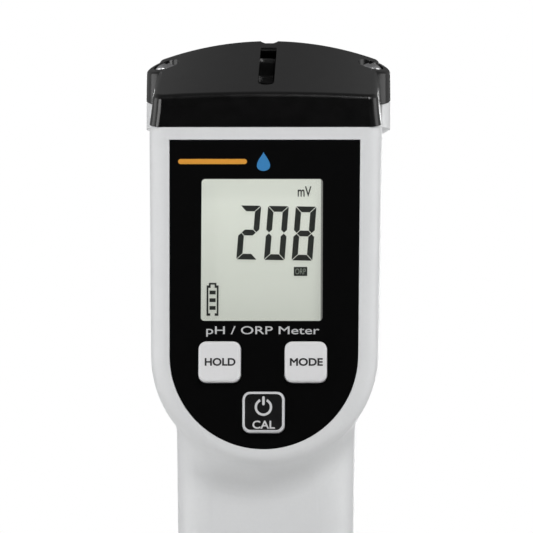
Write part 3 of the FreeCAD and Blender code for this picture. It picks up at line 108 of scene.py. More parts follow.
class Finish:
    """A node material being wired up, with textures in the object's space and a chain of bumps."""

    def __init__(self, name, roughness, metallic=0.0):
        self.material = bpy.data.materials.new(name)
        self.material.use_nodes = True
        self.tree = self.material.node_tree
        self.tree.nodes.clear()
        self.output = self.add("ShaderNodeOutputMaterial")
        self.shader = self.add("ShaderNodeBsdfPrincipled")
        self.join(self.shader.outputs["BSDF"], self.output.inputs["Surface"])
        self.place = self.add("ShaderNodeTexCoord").outputs["Object"]
        self.set("Roughness", roughness)
        self.set("Metallic", metallic)
        self.set("IOR", 1.5)
        self.normal = None

    def add(self, kind, **settings):
        node = self.tree.nodes.new(kind)
        for key, value in settings.items():
            setattr(node, key, value)
        return node

    def join(self, source, target):
        self.tree.links.new(source, target)

    def set(self, socket, value):
        if isinstance(value, bpy.types.NodeSocket):
            self.join(value, self.shader.inputs[socket])
        else:
            self.shader.inputs[socket].default_value = value

    def noise(self, size, detail=2.0, stretch=(1, 1, 1)):
        """Cloudy noise whose features are about size metres wide."""
        mapping = self.add("ShaderNodeMapping")
        mapping.inputs["Scale"].default_value = [1 / (size * s) for s in stretch]
        self.join(self.place, mapping.inputs["Vector"])
        texture = self.add("ShaderNodeTexNoise")
        texture.inputs["Scale"].default_value = 1.0
        texture.inputs["Detail"].default_value = detail
        self.join(mapping.outputs["Vector"], texture.inputs["Vector"])
        return texture.outputs["Fac"]

    def cells(self, size, feature="F1"):
        """Cell pattern whose cells are about size metres wide."""
        texture = self.add("ShaderNodeTexVoronoi", feature=feature)
        texture.inputs["Scale"].default_value = 1 / size
        self.join(self.place, texture.inputs["Vector"])
        return texture.outputs["Distance"]

    def between(self, amount, low, high, start=0.0, end=1.0):
        """A number that goes from low to high as amount goes from start to end."""
        remap = self.add("ShaderNodeMapRange")
        remap.inputs["From Min"].default_value = start
        remap.inputs["From Max"].default_value = end
        remap.inputs["To Min"].default_value = low
        remap.inputs["To Max"].default_value = high
        self.join(amount, remap.inputs["Value"])
        return remap.outputs["Result"]

    def mix(self, amount, first, second):
        """A colour between first and second."""
        node = self.add("ShaderNodeMix", data_type="RGBA")
        self.join(amount, node.inputs["Factor"])
        for socket, colour in ((node.inputs[6], first), (node.inputs[7], second)):
            if isinstance(colour, bpy.types.NodeSocket):
                self.join(colour, socket)
            else:
                socket.default_value = (*colour, 1)
        return node.outputs[2]

    def coordinate(self, axis):
        """One coordinate of the place, in metres."""
        split = self.add("ShaderNodeSeparateXYZ")
        self.join(self.place, split.inputs["Vector"])
        return split.outputs[axis]

    def soften_edges(self, radius):
        """Shades each edge as if it had a small radius."""
        bevel = self.add("ShaderNodeBevel", samples=4)
        bevel.inputs["Radius"].default_value = radius
        self.normal = bevel.outputs["Normal"]
        self.join(self.normal, self.shader.inputs["Normal"])

    def bump(self, pattern, depth, strength=1.0):
        """Adds relief of the given depth in metres."""
        node = self.add("ShaderNodeBump")
        node.inputs["Distance"].default_value = depth
        node.inputs["Strength"].default_value = strength
        self.join(pattern, node.inputs["Height"])
        if self.normal is not None:
            self.join(self.normal, node.inputs["Normal"])
        self.normal = node.outputs["Normal"]
        self.join(self.normal, self.shader.inputs["Normal"])


def linear(red, green, blue):
    """Scene colour for a display colour given as three parts of 255."""
    def one(value):
        part = value / 255
        return part / 12.92 if part <= 0.04045 else ((part + 0.055) / 1.055) ** 2.4
    return one(red), one(green), one(blue)


def shade(colour, factor):
    return tuple(channel * factor for channel in colour)


def moulded(name, colour, roughness, relief=0.004 * MM, edge=0.12 * MM, coat=0.0):
    """Injection-moulded plastic: a fine grain, slow variation in tone and gloss, and softened edges."""
    finish = Finish(name, roughness)
    cloud = finish.noise(7 * MM)
    speck = finish.between(finish.noise(0.5 * MM, detail=4), 0, 0.25, 0.45, 0.75)
    base = finish.mix(cloud, shade(colour, 0.97), shade(colour, 1.03))
    finish.set("Base Color", finish.mix(speck, base, shade(colour, 0.93)))
    gloss = finish.noise(2.5 * MM)
    finish.set("Roughness", finish.between(gloss, roughness * 0.9, roughness * 1.1, 0.3, 0.7))
    finish.set("Coat Weight", coat)
    finish.set("Coat Roughness", 0.08)
    finish.soften_edges(edge)
    finish.bump(finish.noise(0.25 * MM, detail=3), relief)
    finish.bump(finish.noise(9 * MM, detail=1), 0.02 * MM, 0.5)
    return finish.material


def rubber(name, colour, roughness=0.7):
    """Dull elastomer with a fine dusty grain."""
    finish = Finish(name, roughness)
    dust = finish.between(finish.noise(0.4 * MM, detail=5), 0, 0.5, 0.5, 0.8)
    finish.set("Base Color", finish.mix(dust, colour, tuple(c * 0.8 + 0.05 for c in colour)))
    finish.set("Sheen Weight", 0.2)
    finish.soften_edges(0.15 * MM)
    finish.bump(finish.noise(0.2 * MM, detail=4), 0.006 * MM)
    return finish.material


def metal(name, colour, roughness, lines=(1, 1, 12), tarnish=0.08):
    """Bare metal with machining lines along one direction and faint tarnish."""
    finish = Finish(name, roughness, metallic=1.0)
    stain = finish.between(finish.noise(1.5 * MM, detail=4), 0, 1, 0.4, 0.8)
    finish.set("Base Color", finish.mix(stain, colour, shade(colour, 1 - tarnish)))
    strokes = finish.noise(0.05 * MM, detail=2, stretch=lines)
    finish.set("Roughness", finish.between(strokes, roughness * 0.7, roughness * 1.4, 0.3, 0.7))
    finish.soften_edges(0.08 * MM)
    finish.bump(strokes, 0.002 * MM)
    return finish.material


def see_through(name, tint, index=1.5, gloss=0.03, haze=0.0, body_colour=(0.9, 0.9, 0.9)):
    """Thin clear sheet: light passes straight on, tinted, and the surface shines. Haze adds a milky body."""
    finish = Finish(name, 0.25)
    clear = finish.add("ShaderNodeBsdfTransparent")
    clear.inputs["Color"].default_value = (*tint, 1)
    shine = finish.add("ShaderNodeBsdfGlossy")
    wave = finish.noise(6 * MM, detail=1)
    finish.join(finish.between(wave, gloss * 0.8, gloss * 1.3), shine.inputs["Roughness"])
    fresnel = finish.add("ShaderNodeFresnel")
    fresnel.inputs["IOR"].default_value = index
    ripple = finish.add("ShaderNodeBump")
    ripple.inputs["Distance"].default_value = 0.001 * MM
    finish.join(finish.noise(0.3 * MM, detail=2), ripple.inputs["Height"])
    finish.join(ripple.outputs["Normal"], shine.inputs["Normal"])
    sheet = finish.add("ShaderNodeMixShader")
    finish.join(fresnel.outputs["Fac"], sheet.inputs["Fac"])
    finish.join(clear.outputs["BSDF"], sheet.inputs[1])
    finish.join(shine.outputs["BSDF"], sheet.inputs[2])
    finish.set("Base Color", finish.mix(finish.noise(4 * MM), shade(body_colour, 0.94), body_colour))
    milky = finish.add("ShaderNodeMixShader")
    cloud = finish.noise(3 * MM)
    finish.join(finish.between(cloud, haze * 0.92, haze * 1.08), milky.inputs["Fac"])
    finish.join(sheet.outputs["Shader"], milky.inputs[1])
    finish.join(finish.shader.outputs["BSDF"], milky.inputs[2])
    finish.join(milky.outputs["Shader"], finish.output.inputs["Surface"])
    return finish.material


def label_film():
    """Reverse-printed black polyester film: very dark, with a faint fine texture."""
    finish = Finish("label_film", 0.28)
    tone = finish.noise(3 * MM, detail=2)
    finish.set("Base Color", finish.mix(tone, (0.001, 0.001, 0.0011), (0.0016, 0.0016, 0.0017)))
    finish.set("Specular IOR Level", 0.15)
    finish.soften_edges(0.05 * MM)
    finish.bump(finish.noise(0.12 * MM, detail=3), 0.0015 * MM)
    return finish.material


def reflector():
    """The display's reflector, with a painted shadow of the frame along its right edge.

    Its glow is painted light that stands for the light it throws forward, painted stronger towards the top.
    """
    finish = Finish("display_reflector", 0.5)
    low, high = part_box("lcd_rear_glass")
    fibres = finish.between(finish.noise(0.25 * MM, detail=4), 0, 0.6, 0.35, 0.8)
    # Painted shadow of the frame: a thin strip by the right edge gets a darker colour and a dimmer glow.
    shade_start = GLASS_RIGHT - 0.42 * MM
    shade_end = GLASS_RIGHT - 0.32 * MM
    painted_frame_shadow = finish.between(finish.coordinate("X"), 0, 1, shade_start, shade_end)
    # The reflector's own colour is kept dim, so that the painted glow gives most of its brightness.
    paper = finish.mix(fibres, (0.32, 0.325, 0.3), (0.29, 0.3, 0.28))
    glow = finish.mix(fibres, (0.98, 1.0, 0.93), (0.93, 0.96, 0.89))
    finish.set("Base Color", finish.mix(painted_frame_shadow, paper, (0.12, 0.12, 0.115)))
    finish.set("Emission Color", finish.mix(painted_frame_shadow, glow, (0.3, 0.3, 0.29)))
    # Painted light: the glow grows from the bottom of the reflector to its top.
    finish.set("Emission Strength", finish.between(finish.coordinate("Z"), 0.38, 0.55, low.z, high.z))
    finish.bump(finish.noise(0.1 * MM, detail=2), 0.002 * MM)
    return finish.material


def circuit_board():
    """Green solder mask with lighter copper tracks showing through it and tinned pads."""
    finish = Finish("solder_mask", 0.3)
    tracks = finish.between(finish.cells(1.6 * MM, "DISTANCE_TO_EDGE"), 1, 0, 0.05, 0.09)
    mask = finish.mix(tracks, (0.012, 0.09, 0.035), (0.03, 0.2, 0.07))
    pads = finish.between(finish.cells(2.3 * MM), 1, 0, 0.12, 0.16)
    finish.set("Base Color", finish.mix(pads, mask, (0.72, 0.7, 0.62)))
    finish.set("Metallic", finish.between(pads, 0, 0.9))
    finish.set("Coat Weight", 0.4)
    finish.bump(tracks, 0.03 * MM)
    return finish.material


def board_parts():
    """Chips, resistors and capacitors: dark epoxy bodies with pale and tan ceramic ones among them."""
    finish = Finish("board_parts", 0.45)
    kind = finish.noise(9 * MM, detail=0)
    dark = finish.mix(finish.noise(0.3 * MM, detail=4), (0.012, 0.012, 0.013), (0.03, 0.03, 0.032))
    finish.set("Base Color", finish.mix(finish.between(kind, 0, 1, 0.58, 0.6), dark, (0.35, 0.27, 0.18)))
    finish.soften_edges(0.1 * MM)
    finish.bump(finish.noise(0.15 * MM, detail=3), 0.005 * MM)
    return finish.material


def sponge():
    """Open-cell foam, wetted by storage solution."""
    finish = Finish("storage_sponge", 0.6)
    pores = finish.cells(0.7 * MM)
    # Painted shade: each pore is darker towards its hollow middle and lighter on the walls between pores.
    painted_pore_shade = finish.between(pores, 0, 1, 0.1, 0.6)
    finish.set("Base Color", finish.mix(painted_pore_shade, (0.25, 0.2, 0.07), (0.8, 0.7, 0.36)))
    finish.set("Subsurface Weight", 0.2)
    finish.set("Subsurface Scale", 0.5 * MM)
    finish.bump(pores, 0.4 * MM)
    return finish.material


def ceramic():
    """Porous white junction pin."""
    finish = Finish("porous_ceramic", 0.8)
    pores = finish.noise(0.1 * MM, detail=5)
    finish.set("Base Color", finish.mix(pores, (0.7, 0.68, 0.62), (0.86, 0.85, 0.82)))
    finish.bump(pores, 0.02 * MM)
    return finish.material


def zebra():
    """Connector strip of pink silicone with fine conducting layers across it."""
    finish = Finish("zebra_strip", 0.6)
    stripes = finish.add("ShaderNodeTexWave", wave_type="BANDS", bands_direction="X")
    stripes.inputs["Scale"].default_value = 1 / (0.4 * MM) / 3
    finish.join(finish.place, stripes.inputs["Vector"])
    finish.set("Base Color", finish.mix(stripes.outputs["Fac"], (0.05, 0.04, 0.045), (0.8, 0.42, 0.45)))
    finish.bump(stripes.outputs["Fac"], 0.01 * MM)
    return finish.material


def ink(name, colour, roughness=0.45):
    """Screen-printed ink with slightly uneven cover."""
    finish = Finish(name, roughness)
    cover = finish.noise(0.3 * MM, detail=4)
    finish.set("Base Color", finish.mix(cover, shade(colour, 0.9), shade(colour, 1.06)))
    finish.bump(finish.noise(0.08 * MM, detail=2), 0.002 * MM)
    return finish.material


WHITE_PLASTIC = moulded("housing_plastic", linear(222, 223, 224), 0.42)
BLACK_PLASTIC = moulded("cover_plastic", (0.0015, 0.0015, 0.0016), 0.22, relief=0.002 * MM,
                        edge=0.15 * MM)
KEY_PLASTIC = moulded("key_plastic", linear(226, 226, 227), 0.4, relief=0.003 * MM, edge=0.1 * MM)
RIM_PLASTIC = moulded("power_key_plastic", linear(206, 207, 209), 0.36, relief=0.003 * MM,
                      edge=0.06 * MM)
KEY_BLACK = moulded("power_face_plastic", (0.004, 0.004, 0.0043), 0.3, relief=0.001 * MM, edge=0.05 * MM)
GREY_PLASTIC = moulded("probe_head_plastic", (0.055, 0.056, 0.058), 0.38)
COLLAR_PLASTIC = moulded("collar_plastic", (0.02, 0.02, 0.021), 0.34, edge=0.18 * MM)
INNER_PLASTIC = moulded("inner_plastic", (0.05, 0.05, 0.052), 0.5)
SOCKET_PLASTIC = moulded("socket_plastic", (0.07, 0.07, 0.073), 0.42)
PLUNGER_PLASTIC = moulded("plunger_plastic", (0.62, 0.17, 0.03), 0.42)
PROBE_PLASTIC = moulded("probe_epoxy", (0.055, 0.1, 0.19), 0.2, relief=0.001 * MM, coat=0.4)
DARK_RUBBER = rubber("dark_rubber", (0.02, 0.02, 0.021))
GREY_RUBBER = rubber("keypad_rubber", (0.24, 0.24, 0.25), 0.6)
RED_RUBBER = rubber("cover_gasket_rubber", (0.4, 0.06, 0.045), 0.6)
STEEL = metal("stainless_steel", (0.62, 0.62, 0.63), 0.26)
CELL_STEEL = metal("cell_can_steel", (0.66, 0.66, 0.67), 0.22, lines=(12, 12, 1))
BRASS = metal("brass", (0.78, 0.55, 0.24), 0.28, tarnish=0.2)
GOLD = metal("gold_plate", (0.9, 0.66, 0.28), 0.18)
NICKEL = metal("nickel_plate", (0.66, 0.62, 0.54), 0.2)
PLATINUM = metal("platinum", (0.72, 0.7, 0.67), 0.12, lines=(12, 12, 1))
SILVER = metal("silver_wire", (0.75, 0.74, 0.72), 0.25, tarnish=0.45)
WINDOW_CLEAR = see_through("window_clear", (0.99, 0.995, 0.99), index=1.25)
LCD_CLEAR = see_through("display_glass", (0.99, 0.995, 0.99), index=1.15)
BULB_CLEAR = see_through("bulb_glass", (0.86, 0.92, 0.93), haze=0.04)
CAP_CLEAR = see_through("cap_translucent", (0.82, 0.85, 0.86), gloss=0.08, haze=0.38,
                        body_colour=(0.72, 0.76, 0.78))

FINISHES = {
    "front_housing": WHITE_PLASTIC,
    "rear_housing": WHITE_PLASTIC,
    "battery_cover": BLACK_PLASTIC,
    "front_label": label_film(),
    "display_window": WINDOW_CLEAR,
    "lcd_front_glass": LCD_CLEAR,
    "lcd_rear_glass": reflector(),
    "lcd_frame": INNER_PLASTIC,
    "lcd_connector": zebra(),
    "hold_key": KEY_PLASTIC,
    "mode_key": KEY_PLASTIC,
    "power_key": RIM_PLASTIC,
    "power_key_face": KEY_BLACK,
    "hold_plunger": PLUNGER_PLASTIC,
    "mode_plunger": PLUNGER_PLASTIC,
    "power_plunger": PLUNGER_PLASTIC,
    "switch_bodies": INNER_PLASTIC,
    "keypad_mat": GREY_RUBBER,
    "main_board": circuit_board(),
    "board_components": board_parts(),
    "board_screws": STEEL,
    "housing_screws": STEEL,
    "cover_screw_left": STEEL,
    "cover_screw_right": STEEL,
    "threaded_inserts": BRASS,
    "battery_carrier": INNER_PLASTIC,
    "coin_cells": CELL_STEEL,
    "carrier_contacts": NICKEL,
    "battery_contacts": GOLD,
    "housing_gasket": DARK_RUBBER,
    "cover_gasket": RED_RUBBER,
    "screw_seal_left": DARK_RUBBER,
    "screw_seal_right": DARK_RUBBER,
    "signal_cable": DARK_RUBBER,
    "socket_housing": SOCKET_PLASTIC,
    "sensor_socket": INNER_PLASTIC,
    "socket_pins": GOLD,
    "socket_seal": DARK_RUBBER,
    "electrode_collar": COLLAR_PLASTIC,
    "electrode_body": GREY_PLASTIC,
    "electrode_plug_pins": GOLD,
    "electrode_seal": DARK_RUBBER,
    "probe_tube": PROBE_PLASTIC,
    "probe_guard": PROBE_PLASTIC,
    "probe_end_plug": GREY_PLASTIC,
    "glass_bulb": BULB_CLEAR,
    "inner_electrode": SILVER,
    "reference_junction": ceramic(),
    "temperature_sensor": STEEL,
    "platinum_ring": PLATINUM,
    "protective_cap": CAP_CLEAR,
    "cap_sponge": sponge(),
}


def dress_nodes():
    """Gives every CAD node its finish."""
    for name, node in NODES.items():
        for slot in node.material_slots:
            slot.material = FINISHES[name]


# ---------------------------------------------------------------- printed and display pieces

def finish_mesh(name, builder, material, body):
    """Turns a bmesh in the shared frame into a closed piece that rides on a body."""
    bmesh.ops.remove_doubles(builder, verts=builder.verts, dist=0.0005 * MM)
    bmesh.ops.recalc_face_normals(builder, faces=builder.faces)
    mesh = bpy.data.meshes.new(name)
    builder.to_mesh(mesh)
    builder.free()
    mesh.materials.append(material)
    piece = bpy.data.objects.new(name, mesh)
    bpy.context.scene.collection.objects.link(piece)
    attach(piece, body)


def prism(builder, outline, depth, thickness):
    """A closed plate over an outline of (across, height) points, standing towards the viewer from a depth."""
    back = [builder.verts.new(on_face(x, depth, z)) for x, z in outline]
    front = [builder.verts.new(on_face(x, depth - thickness, z)) for x, z in outline]
    builder.faces.new(back)
    builder.faces.new(list(reversed(front)))
    count = len(outline)
    for i in range(count):
        j = (i + 1) % count
        builder.faces.new((back[j], back[i], front[i], front[j]))


def plates(name, outlines, depth, material, body):
    """Several plates of ink as one piece."""
    builder = bmesh.new()
    for outline in outlines:
        prism(builder, outline, depth, INK)
    finish_mesh(name, builder, material, body)


def rectangle(left, right, bottom, top):
    return [(left, bottom), (right, bottom), (right, top), (left, top)]


def ring(name, across, height, radius, stroke, gap, depth, material, body):
    """Part of a ring, open at the top by twice the gap angle."""
    steps = 48
    builder = bmesh.new()
    turn = [gap + (2 * math.pi - 2 * gap) * i / steps for i in range(steps + 1)]
    loops = []
    for angle in turn:
        loop = []
        for r, d in ((radius, 0), (radius - stroke, 0), (radius - stroke, INK), (radius, INK)):
            x = across + r * math.sin(angle)
            z = height + r * math.cos(angle)
            loop.append(builder.verts.new(on_face(x, depth - d, z)))
        loops.append(loop)
    for a, b in zip(loops, loops[1:]):
        for i in range(4):
            j = (i + 1) % 4
            builder.faces.new((a[i], a[j], b[j], b[i]))
    builder.faces.new(loops[0])
    builder.faces.new(list(reversed(loops[-1])))
    finish_mesh(name, builder, material, body)


def thicken(builder, amount):
    """Moves the outlines of flat letters outwards, to make them bolder."""
    moves = {}
    for vertex in builder.verts:
        rims = [edge for edge in vertex.link_edges if edge.is_boundary]
        if len(rims) != 2:
            continue
        sides = []
        for edge in rims:
            along = (edge.verts[1].co - edge.verts[0].co).normalized()
            side = Vector((along.y, -along.x, 0))
            middle = (edge.verts[0].co + edge.verts[1].co) / 2
            if side.dot(edge.link_faces[0].calc_center_median() - middle) > 0:
                side = -side
            sides.append(side)
        both = sides[0] + sides[1]
        if both.length > 0.1:
            moves[vertex] = both.normalized() * amount * min(2 / both.length, 1.6)
    for vertex, move in moves.items():
        vertex.co += move


def lettering(name, words, place, size, depth, material, body, weight=0.0):
    """Plain sans-serif words of ink, centred on a place of the face and fitted to a width and a height.

    The weight makes the letters bolder. It is a share of the font's size.
    """
    across, height = place
    width, tall = size
    curve = bpy.data.curves.new(name + "_outline", "FONT")
    curve.body = words
    curve.resolution_u = 6
    holder = bpy.data.objects.new(name + "_outline", curve)
    bpy.context.scene.collection.objects.link(holder)
    bpy.context.view_layer.update()
    mesh = bpy.data.meshes.new_from_object(holder.evaluated_get(bpy.context.evaluated_depsgraph_get()))
    bpy.data.objects.remove(holder)
    builder = bmesh.new()
    builder.from_mesh(mesh)
    bpy.data.meshes.remove(mesh)
    bmesh.ops.remove_doubles(builder, verts=builder.verts, dist=0.0002)
    thicken(builder, weight)
    low = [min(v.co[i] for v in builder.verts) for i in range(2)]
    high = [max(v.co[i] for v in builder.verts) for i in range(2)]
    for vertex in builder.verts:
        x, z = [(vertex.co[i] - low[i]) / (high[i] - low[i]) - 0.5 for i in range(2)]
        vertex.co = on_face(across + x * width, depth, height + z * tall)
    raised = bmesh.ops.extrude_face_region(builder, geom=builder.faces[:])["geom"]
    for vertex in raised:
        if isinstance(vertex, bmesh.types.BMVert):
            vertex.co -= INK * INTO
    finish_mesh(name, builder, material, body)


# The bars that each shown figure lights. The letters go clockwise round a figure from its top bar, a to f,
# and g is the middle bar.
FIGURES = {"0": "abcdef", "2": "abged", "8": "abcdefg"}

DIGIT_HEIGHT = 0.382 * (GLASS_TOP - GLASS_BOTTOM)
DIGIT_WIDTH = 0.171 * (GLASS_RIGHT - GLASS_LEFT)
BAR = 0.106 * DIGIT_HEIGHT
BAR_GAP = 0.075 * MM          # half the clear line between two bars, measured level
SLANT = math.tan(math.radians(4.2))
ROW_TILT = math.tan(math.radians(-1.0))
SHADOW_GAP = 0.35 * MM        # height of the dark bars over the reflector that they shade


def digit_bars(figure):
    """Outlines of a figure's bars, with the lower left corner of the figure at zero."""
    w, h, t, g = DIGIT_WIDTH, DIGIT_HEIGHT, BAR, BAR_GAP
    half = h / 2
    cut = 1.6 * g
    bars = {
        "a": [(g + cut, h), (w - g - cut, h), (w - g - cut / 2, h - cut / 2), (w - t - g, h - t),
              (t + g, h - t), (g + cut / 2, h - cut / 2)],
        "g": [(t / 2 + g, half), (t + g, half + t / 2), (w - t - g, half + t / 2), (w - t / 2 - g, half),
              (w - t - g, half - t / 2), (t + g, half - t / 2)],
        "f": [(0, h - g - cut), (cut / 2, h - g - cut / 2), (t, h - t - g), (t, half + t / 2 + g),
              (t / 2, half + g), (0, half + t / 2 + g)],
    }
    bars["d"] = [(x, h - z) for x, z in bars["a"]]
    bars["e"] = [(x, h - z) for x, z in bars["f"]]
    bars["b"] = [(w - x, z) for x, z in bars["f"]]
    bars["c"] = [(w - x, h - z) for x, z in bars["f"]]
    return [bars[letter] for letter in FIGURES[figure]]


def display_digits(material):
    """The reading, three slanted seven-bar figures."""
    left = GLASS_LEFT + 0.284 * (GLASS_RIGHT - GLASS_LEFT)
    pitch = 0.2285 * (GLASS_RIGHT - GLASS_LEFT)
    base = GLASS_BOTTOM + 0.448 * (GLASS_TOP - GLASS_BOTTOM)
    outlines = []
    for place, figure in enumerate("208"):
        for bar in digit_bars(figure):
            shifted = [(left + place * pitch + x + SLANT * z, z) for x, z in bar]
            outlines.append([(x, base + z + ROW_TILT * (x - left)) for x, z in shifted])
    plates("display_digits", outlines, REFLECTOR.front - SHADOW_GAP, material, "case")


def display_signs(material, paper):
    """Unit, mode tag and battery sign."""
    width = GLASS_RIGHT - GLASS_LEFT
    tall = GLASS_TOP - GLASS_BOTTOM
    depth = REFLECTOR.front - SHADOW_GAP
    unit_place = (GLASS_LEFT + 0.846 * width, GLASS_BOTTOM + 0.928 * tall)
    lettering("display_unit", "mV", unit_place, (2.25 * MM, 1.72 * MM), depth, material, "case", weight=0.014)
    tag_x = GLASS_LEFT + 0.815 * width
    tag_z = GLASS_BOTTOM + 0.363 * tall
    tag = rectangle(tag_x - 1.1 * MM, tag_x + 1.1 * MM, tag_z - 0.74 * MM, tag_z + 0.74 * MM)
    plates("display_tag", [tag], depth, material, "case")
    letters_size = (1.75 * MM, 0.95 * MM)
    lettering("display_tag_letters", "ORP", (tag_x, tag_z), letters_size, depth - INK, paper, "case")

    battery_sign(GLASS_LEFT + 0.041 * width, GLASS_BOTTOM + 0.05 * tall, depth, material)


def battery_sign(left, bottom, depth, material):
    """An upright battery with a nub on top, open in the middle of its foot, and three levels of charge."""
    right = left + 1.95 * MM
    top = bottom + 5.0 * MM
    line = 0.29 * MM
    level_line = 1.4 * line
    nub_left = left + 0.36 * MM
    nub_right = right - 0.36 * MM
    nub_top = top + 0.42 * MM
    foot = 0.62 * MM
    outlines = [
        rectangle(left, left + line, bottom, top),
        rectangle(right - line, right, bottom, top),
        rectangle(left + line, left + foot, bottom, bottom + level_line),
        rectangle(right - foot, right - line, bottom, bottom + level_line),
        rectangle(left + line, nub_left + line, top - level_line, top),
        rectangle(nub_right - line, right - line, top - level_line, top),
        rectangle(nub_left, nub_left + line, top, nub_top),
        rectangle(nub_right - line, nub_right, top, nub_top),
        rectangle(nub_left + line, nub_right - line, nub_top - line, nub_top),
    ]
    for level in range(3):
        low = bottom + (0.98 + 1.27 * level) * MM
        outlines.append(rectangle(left + 0.47 * MM, right - 0.47 * MM, low, low + 0.63 * MM))
    plates("display_battery_sign", outlines, depth, material, "case")


def droplet(across, height, size):
    """Outline of a drop, round below and pointed above."""
    steps = 40
    outline = []
    for i in range(steps):
        t = 2 * math.pi * i / steps
        x = 0.5 * size * math.sin(t) * math.sin(t / 2) ** 1.5
        z = 0.5 * size * math.cos(t)
        outline.append((across + x, height + z))
    return outline


def stadium(left, right, centre, thickness):
    """Outline of a bar with round ends."""
    steps = 8
    radius = thickness / 2
    outline = []
    for middle, start in ((right - radius, -math.pi / 2), (left + radius, math.pi / 2)):
        for i in range(steps + 1):
            angle = start + math.pi * i / steps
            outline.append((middle + radius * math.cos(angle), centre + radius * math.sin(angle)))
    return outline


def stadium_upright(centre, bottom, top, thickness):
    """Outline of an upright bar with round ends."""
    return [(centre - z, x) for x, z in stadium(bottom, top, 0.0, thickness)]


def label_print():
    """A plain stripe, a drop and what the instrument measures."""
    white = ink("label_white_ink", linear(196, 197, 198))
    orange = ink("label_orange_ink", linear(222, 153, 46))
    blue = ink("label_blue_ink", linear(46, 128, 188))
    level = GLASS_TOP + 2.85 * MM
    stripe = stadium(LABEL.left + 1.4 * MM, -2.9 * MM, level, 0.85 * MM)
    plates("label_stripe", [stripe], LABEL.front, orange, "case")
    plates("label_drop", [droplet(-0.2 * MM, level, 3.1 * MM)], LABEL.front, blue, "case")
    place = ((GLASS_LEFT + GLASS_RIGHT) / 2 + 0.2 * MM, GLASS_BOTTOM - 1.75 * MM)
    size = (18.4 * MM, 1.72 * MM)
    lettering("label_words", "pH / ORP Meter", place, size, LABEL.front, white, "case", weight=0.004)


def key_print():
    """Legends on the three keys."""
    dark = ink("key_dark_ink", (0.012, 0.012, 0.013))
    pale = ink("key_pale_ink", linear(205, 206, 207))
    legends = (("HOLD", HOLD, 5.0 * MM, "hold_button"), ("MODE", MODE, 5.35 * MM, "mode_button"))
    for words, key, width, body in legends:
        place = (key.middle + 0.1 * MM, key.centre - 0.05 * MM)
        size = (width, 1.28 * MM)
        lettering(words.lower() + "_legend", words, place, size, key.front, dark, body, weight=0.03)
    place = (POWER.middle + 0.05 * MM, POWER.centre - 2.07 * MM)
    size = (3.65 * MM, 1.32 * MM)
    lettering("calibrate_legend", "CAL", place, size, POWER_FACE.front, pale, "power_button", weight=0.02)
    height = POWER.centre + 0.79 * MM
    opening = math.radians(25)
    ring("power_sign_ring", POWER.middle, height, 1.42 * MM, 0.38 * MM, opening, POWER_FACE.front, pale,
         "power_button")
    bar = stadium_upright(POWER.middle, height + 0.3 * MM, height + 1.78 * MM, 0.42 * MM)
    plates("power_sign_bar", [bar], POWER_FACE.front, pale, "power_button")


def display():
    """Everything the display shows."""
    dark = ink("display_dark", linear(30, 34, 30), 0.5)
    paper = ink("display_light", linear(150, 156, 146), 0.5)
    display_digits(dark)
    display_signs(dark, paper)


# ---------------------------------------------------------------- floor, light and camera

def floor():
    """A pale matt floor. Away from the object it goes over into the white of the backdrop for the camera."""
    low, high = CAD_BOX
    radius = 40 * (high.z - low.z)
    white_start = 0.15
    white_end = 0.56
    builder = bmesh.new()
    bmesh.ops.create_circle(builder, cap_ends=True, segments=96, radius=radius)
    mesh = bpy.data.meshes.new("floor")
    builder.to_mesh(mesh)
    builder.free()
    piece = bpy.data.objects.new("floor", mesh)
    piece.location.z = low.z - 0.05 * MM
    bpy.context.scene.collection.objects.link(piece)
    finish = Finish("floor_paper", 0.75)
    pulp = finish.noise(0.6 * MM, detail=5)
    finish.set("Base Color", finish.mix(pulp, (0.84, 0.84, 0.835), (0.87, 0.87, 0.865)))
    finish.bump(pulp, 0.01 * MM)
    away = finish.add("ShaderNodeVectorMath", operation="LENGTH")
    finish.join(finish.place, away.inputs[0])
    edge = finish.between(away.outputs["Value"], 0, 1, white_start, white_end)
    glow = finish.add("ShaderNodeEmission")
    glow.inputs["Strength"].default_value = 1.0
    seen = finish.add("ShaderNodeMath", operation="MULTIPLY")
    finish.join(edge, seen.inputs[0])
    finish.join(finish.add("ShaderNodeLightPath").outputs["Is Camera Ray"], seen.inputs[1])
    blend = finish.add("ShaderNodeMixShader")
    finish.join(seen.outputs["Value"], blend.inputs["Fac"])
    finish.join(finish.shader.outputs["BSDF"], blend.inputs[1])
    finish.join(glow.outputs["Emission"], blend.inputs[2])
    finish.join(blend.outputs["Shader"], finish.output.inputs["Surface"])
    mesh.materials.append(finish.material)


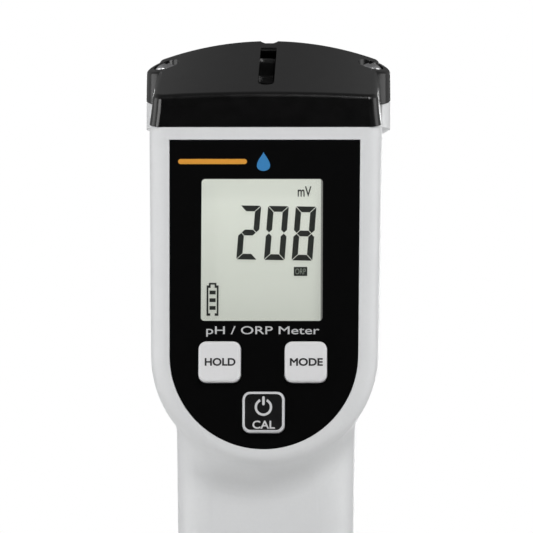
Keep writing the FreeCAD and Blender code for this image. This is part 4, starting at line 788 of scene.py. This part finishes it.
def studio():
    """A world that is white to the camera.

    To everything else it is brightest at the sides, and dark straight ahead so that the label stays black.
    """
    world = bpy.data.worlds.new("studio")
    bpy.context.scene.world = world
    world.use_nodes = True
    tree = world.node_tree
    tree.nodes.clear()

    def add(kind, **settings):
        node = tree.nodes.new(kind)
        for key, value in settings.items():
            setattr(node, key, value)
        return node

    out = add("ShaderNodeOutputWorld")
    background = add("ShaderNodeBackground")
    background.inputs["Color"].default_value = (1, 1, 1, 1)
    path = add("ShaderNodeLightPath")
    place = add("ShaderNodeTexCoord")
    split = add("ShaderNodeSeparateXYZ")
    tree.links.new(place.outputs["Generated"], split.inputs["Vector"])

    def between(source, start, end, low, high):
        """A strength that goes from low to high as the source goes from start to end."""
        remap = add("ShaderNodeMapRange")
        remap.inputs["From Min"].default_value = start
        remap.inputs["From Max"].default_value = end
        remap.inputs["To Min"].default_value = low
        remap.inputs["To Max"].default_value = high
        tree.links.new(source, remap.inputs["Value"])
        return remap.outputs["Result"]

    ahead = between(split.outputs["Y"], -0.75, -0.25, 0.1, 1.0)
    aside = add("ShaderNodeMath", operation="ABSOLUTE")
    tree.links.new(split.outputs["X"], aside.inputs[0])
    flank = between(aside.outputs["Value"], 0.3, 0.8, 0.17, 0.5)
    dim = add("ShaderNodeMath", operation="MULTIPLY")
    tree.links.new(ahead, dim.inputs[0])
    tree.links.new(flank, dim.inputs[1])
    choose = add("ShaderNodeMix", data_type="FLOAT")
    tree.links.new(path.outputs["Is Camera Ray"], choose.inputs["Factor"])
    tree.links.new(dim.outputs["Value"], choose.inputs[2])
    choose.inputs[3].default_value = 1.0
    tree.links.new(choose.outputs[0], background.inputs["Strength"])
    tree.links.new(background.outputs["Background"], out.inputs["Surface"])


def softbox(name, place, aim, width, height, power):
    """A soft area light that the camera can't see."""
    data = bpy.data.lights.new(name, "AREA")
    data.shape = "RECTANGLE"
    data.size = width
    data.size_y = height
    data.energy = power
    light = bpy.data.objects.new(name, data)
    light.location = place
    light.rotation_mode = "QUATERNION"
    light.rotation_quaternion = (aim - place).to_track_quat("-Z", "Y")
    light.visible_camera = False
    bpy.context.scene.collection.objects.link(light)


def lights():
    """Large side boxes, a key from the upper right, a weaker fill from the left and a box behind."""
    low, high = CAD_BOX
    head = Vector((0, (low.y + high.y) / 2, low.z + 0.78 * (high.z - low.z)))
    softbox("right_box", head + Vector((0.62, -0.06, 0.05)), head, 0.4, 0.6, 1.2)
    softbox("left_box", head + Vector((-0.62, -0.06, 0.05)), head, 0.4, 0.6, 1.34)
    softbox("key_box", head + Vector((0.22, -0.50, 0.56)), head, 0.25, 0.25, 2.85)
    softbox("fill_box", head + Vector((-0.45, -0.58, 0.22)), head, 0.25, 0.25, 1.05)
    softbox("back_box", head + Vector((0.0, 0.7, -0.03)), head, 0.3, 0.3, 1.3)


def camera():
    """A long lens, almost level with the display and slightly to the right, framed on the upper half."""
    low, high = CAD_BOX
    azimuth = math.radians(1.8)
    elevation = math.radians(0.5)
    distance = 0.9
    back = Vector((
        math.sin(azimuth) * math.cos(elevation),
        -math.cos(azimuth) * math.cos(elevation),
        math.sin(elevation),
    ))
    target = Vector((0.42 * MM, low.y + 3 * MM, high.z - 37.54 * MM))
    data = bpy.data.cameras.new("camera")
    data.lens = 374
    data.sensor_width = 36
    seat = bpy.data.objects.new("camera", data)
    seat.location = target + distance * back
    seat.rotation_mode = "QUATERNION"
    seat.rotation_quaternion = (-back).to_track_quat("-Z", "Y")
    bpy.context.scene.collection.objects.link(seat)
    bpy.context.scene.camera = seat


dress_nodes()
display()
label_print()
key_print()
floor()
studio()
lights()
camera()
bpy.context.scene.view_settings.view_transform = "Standard"
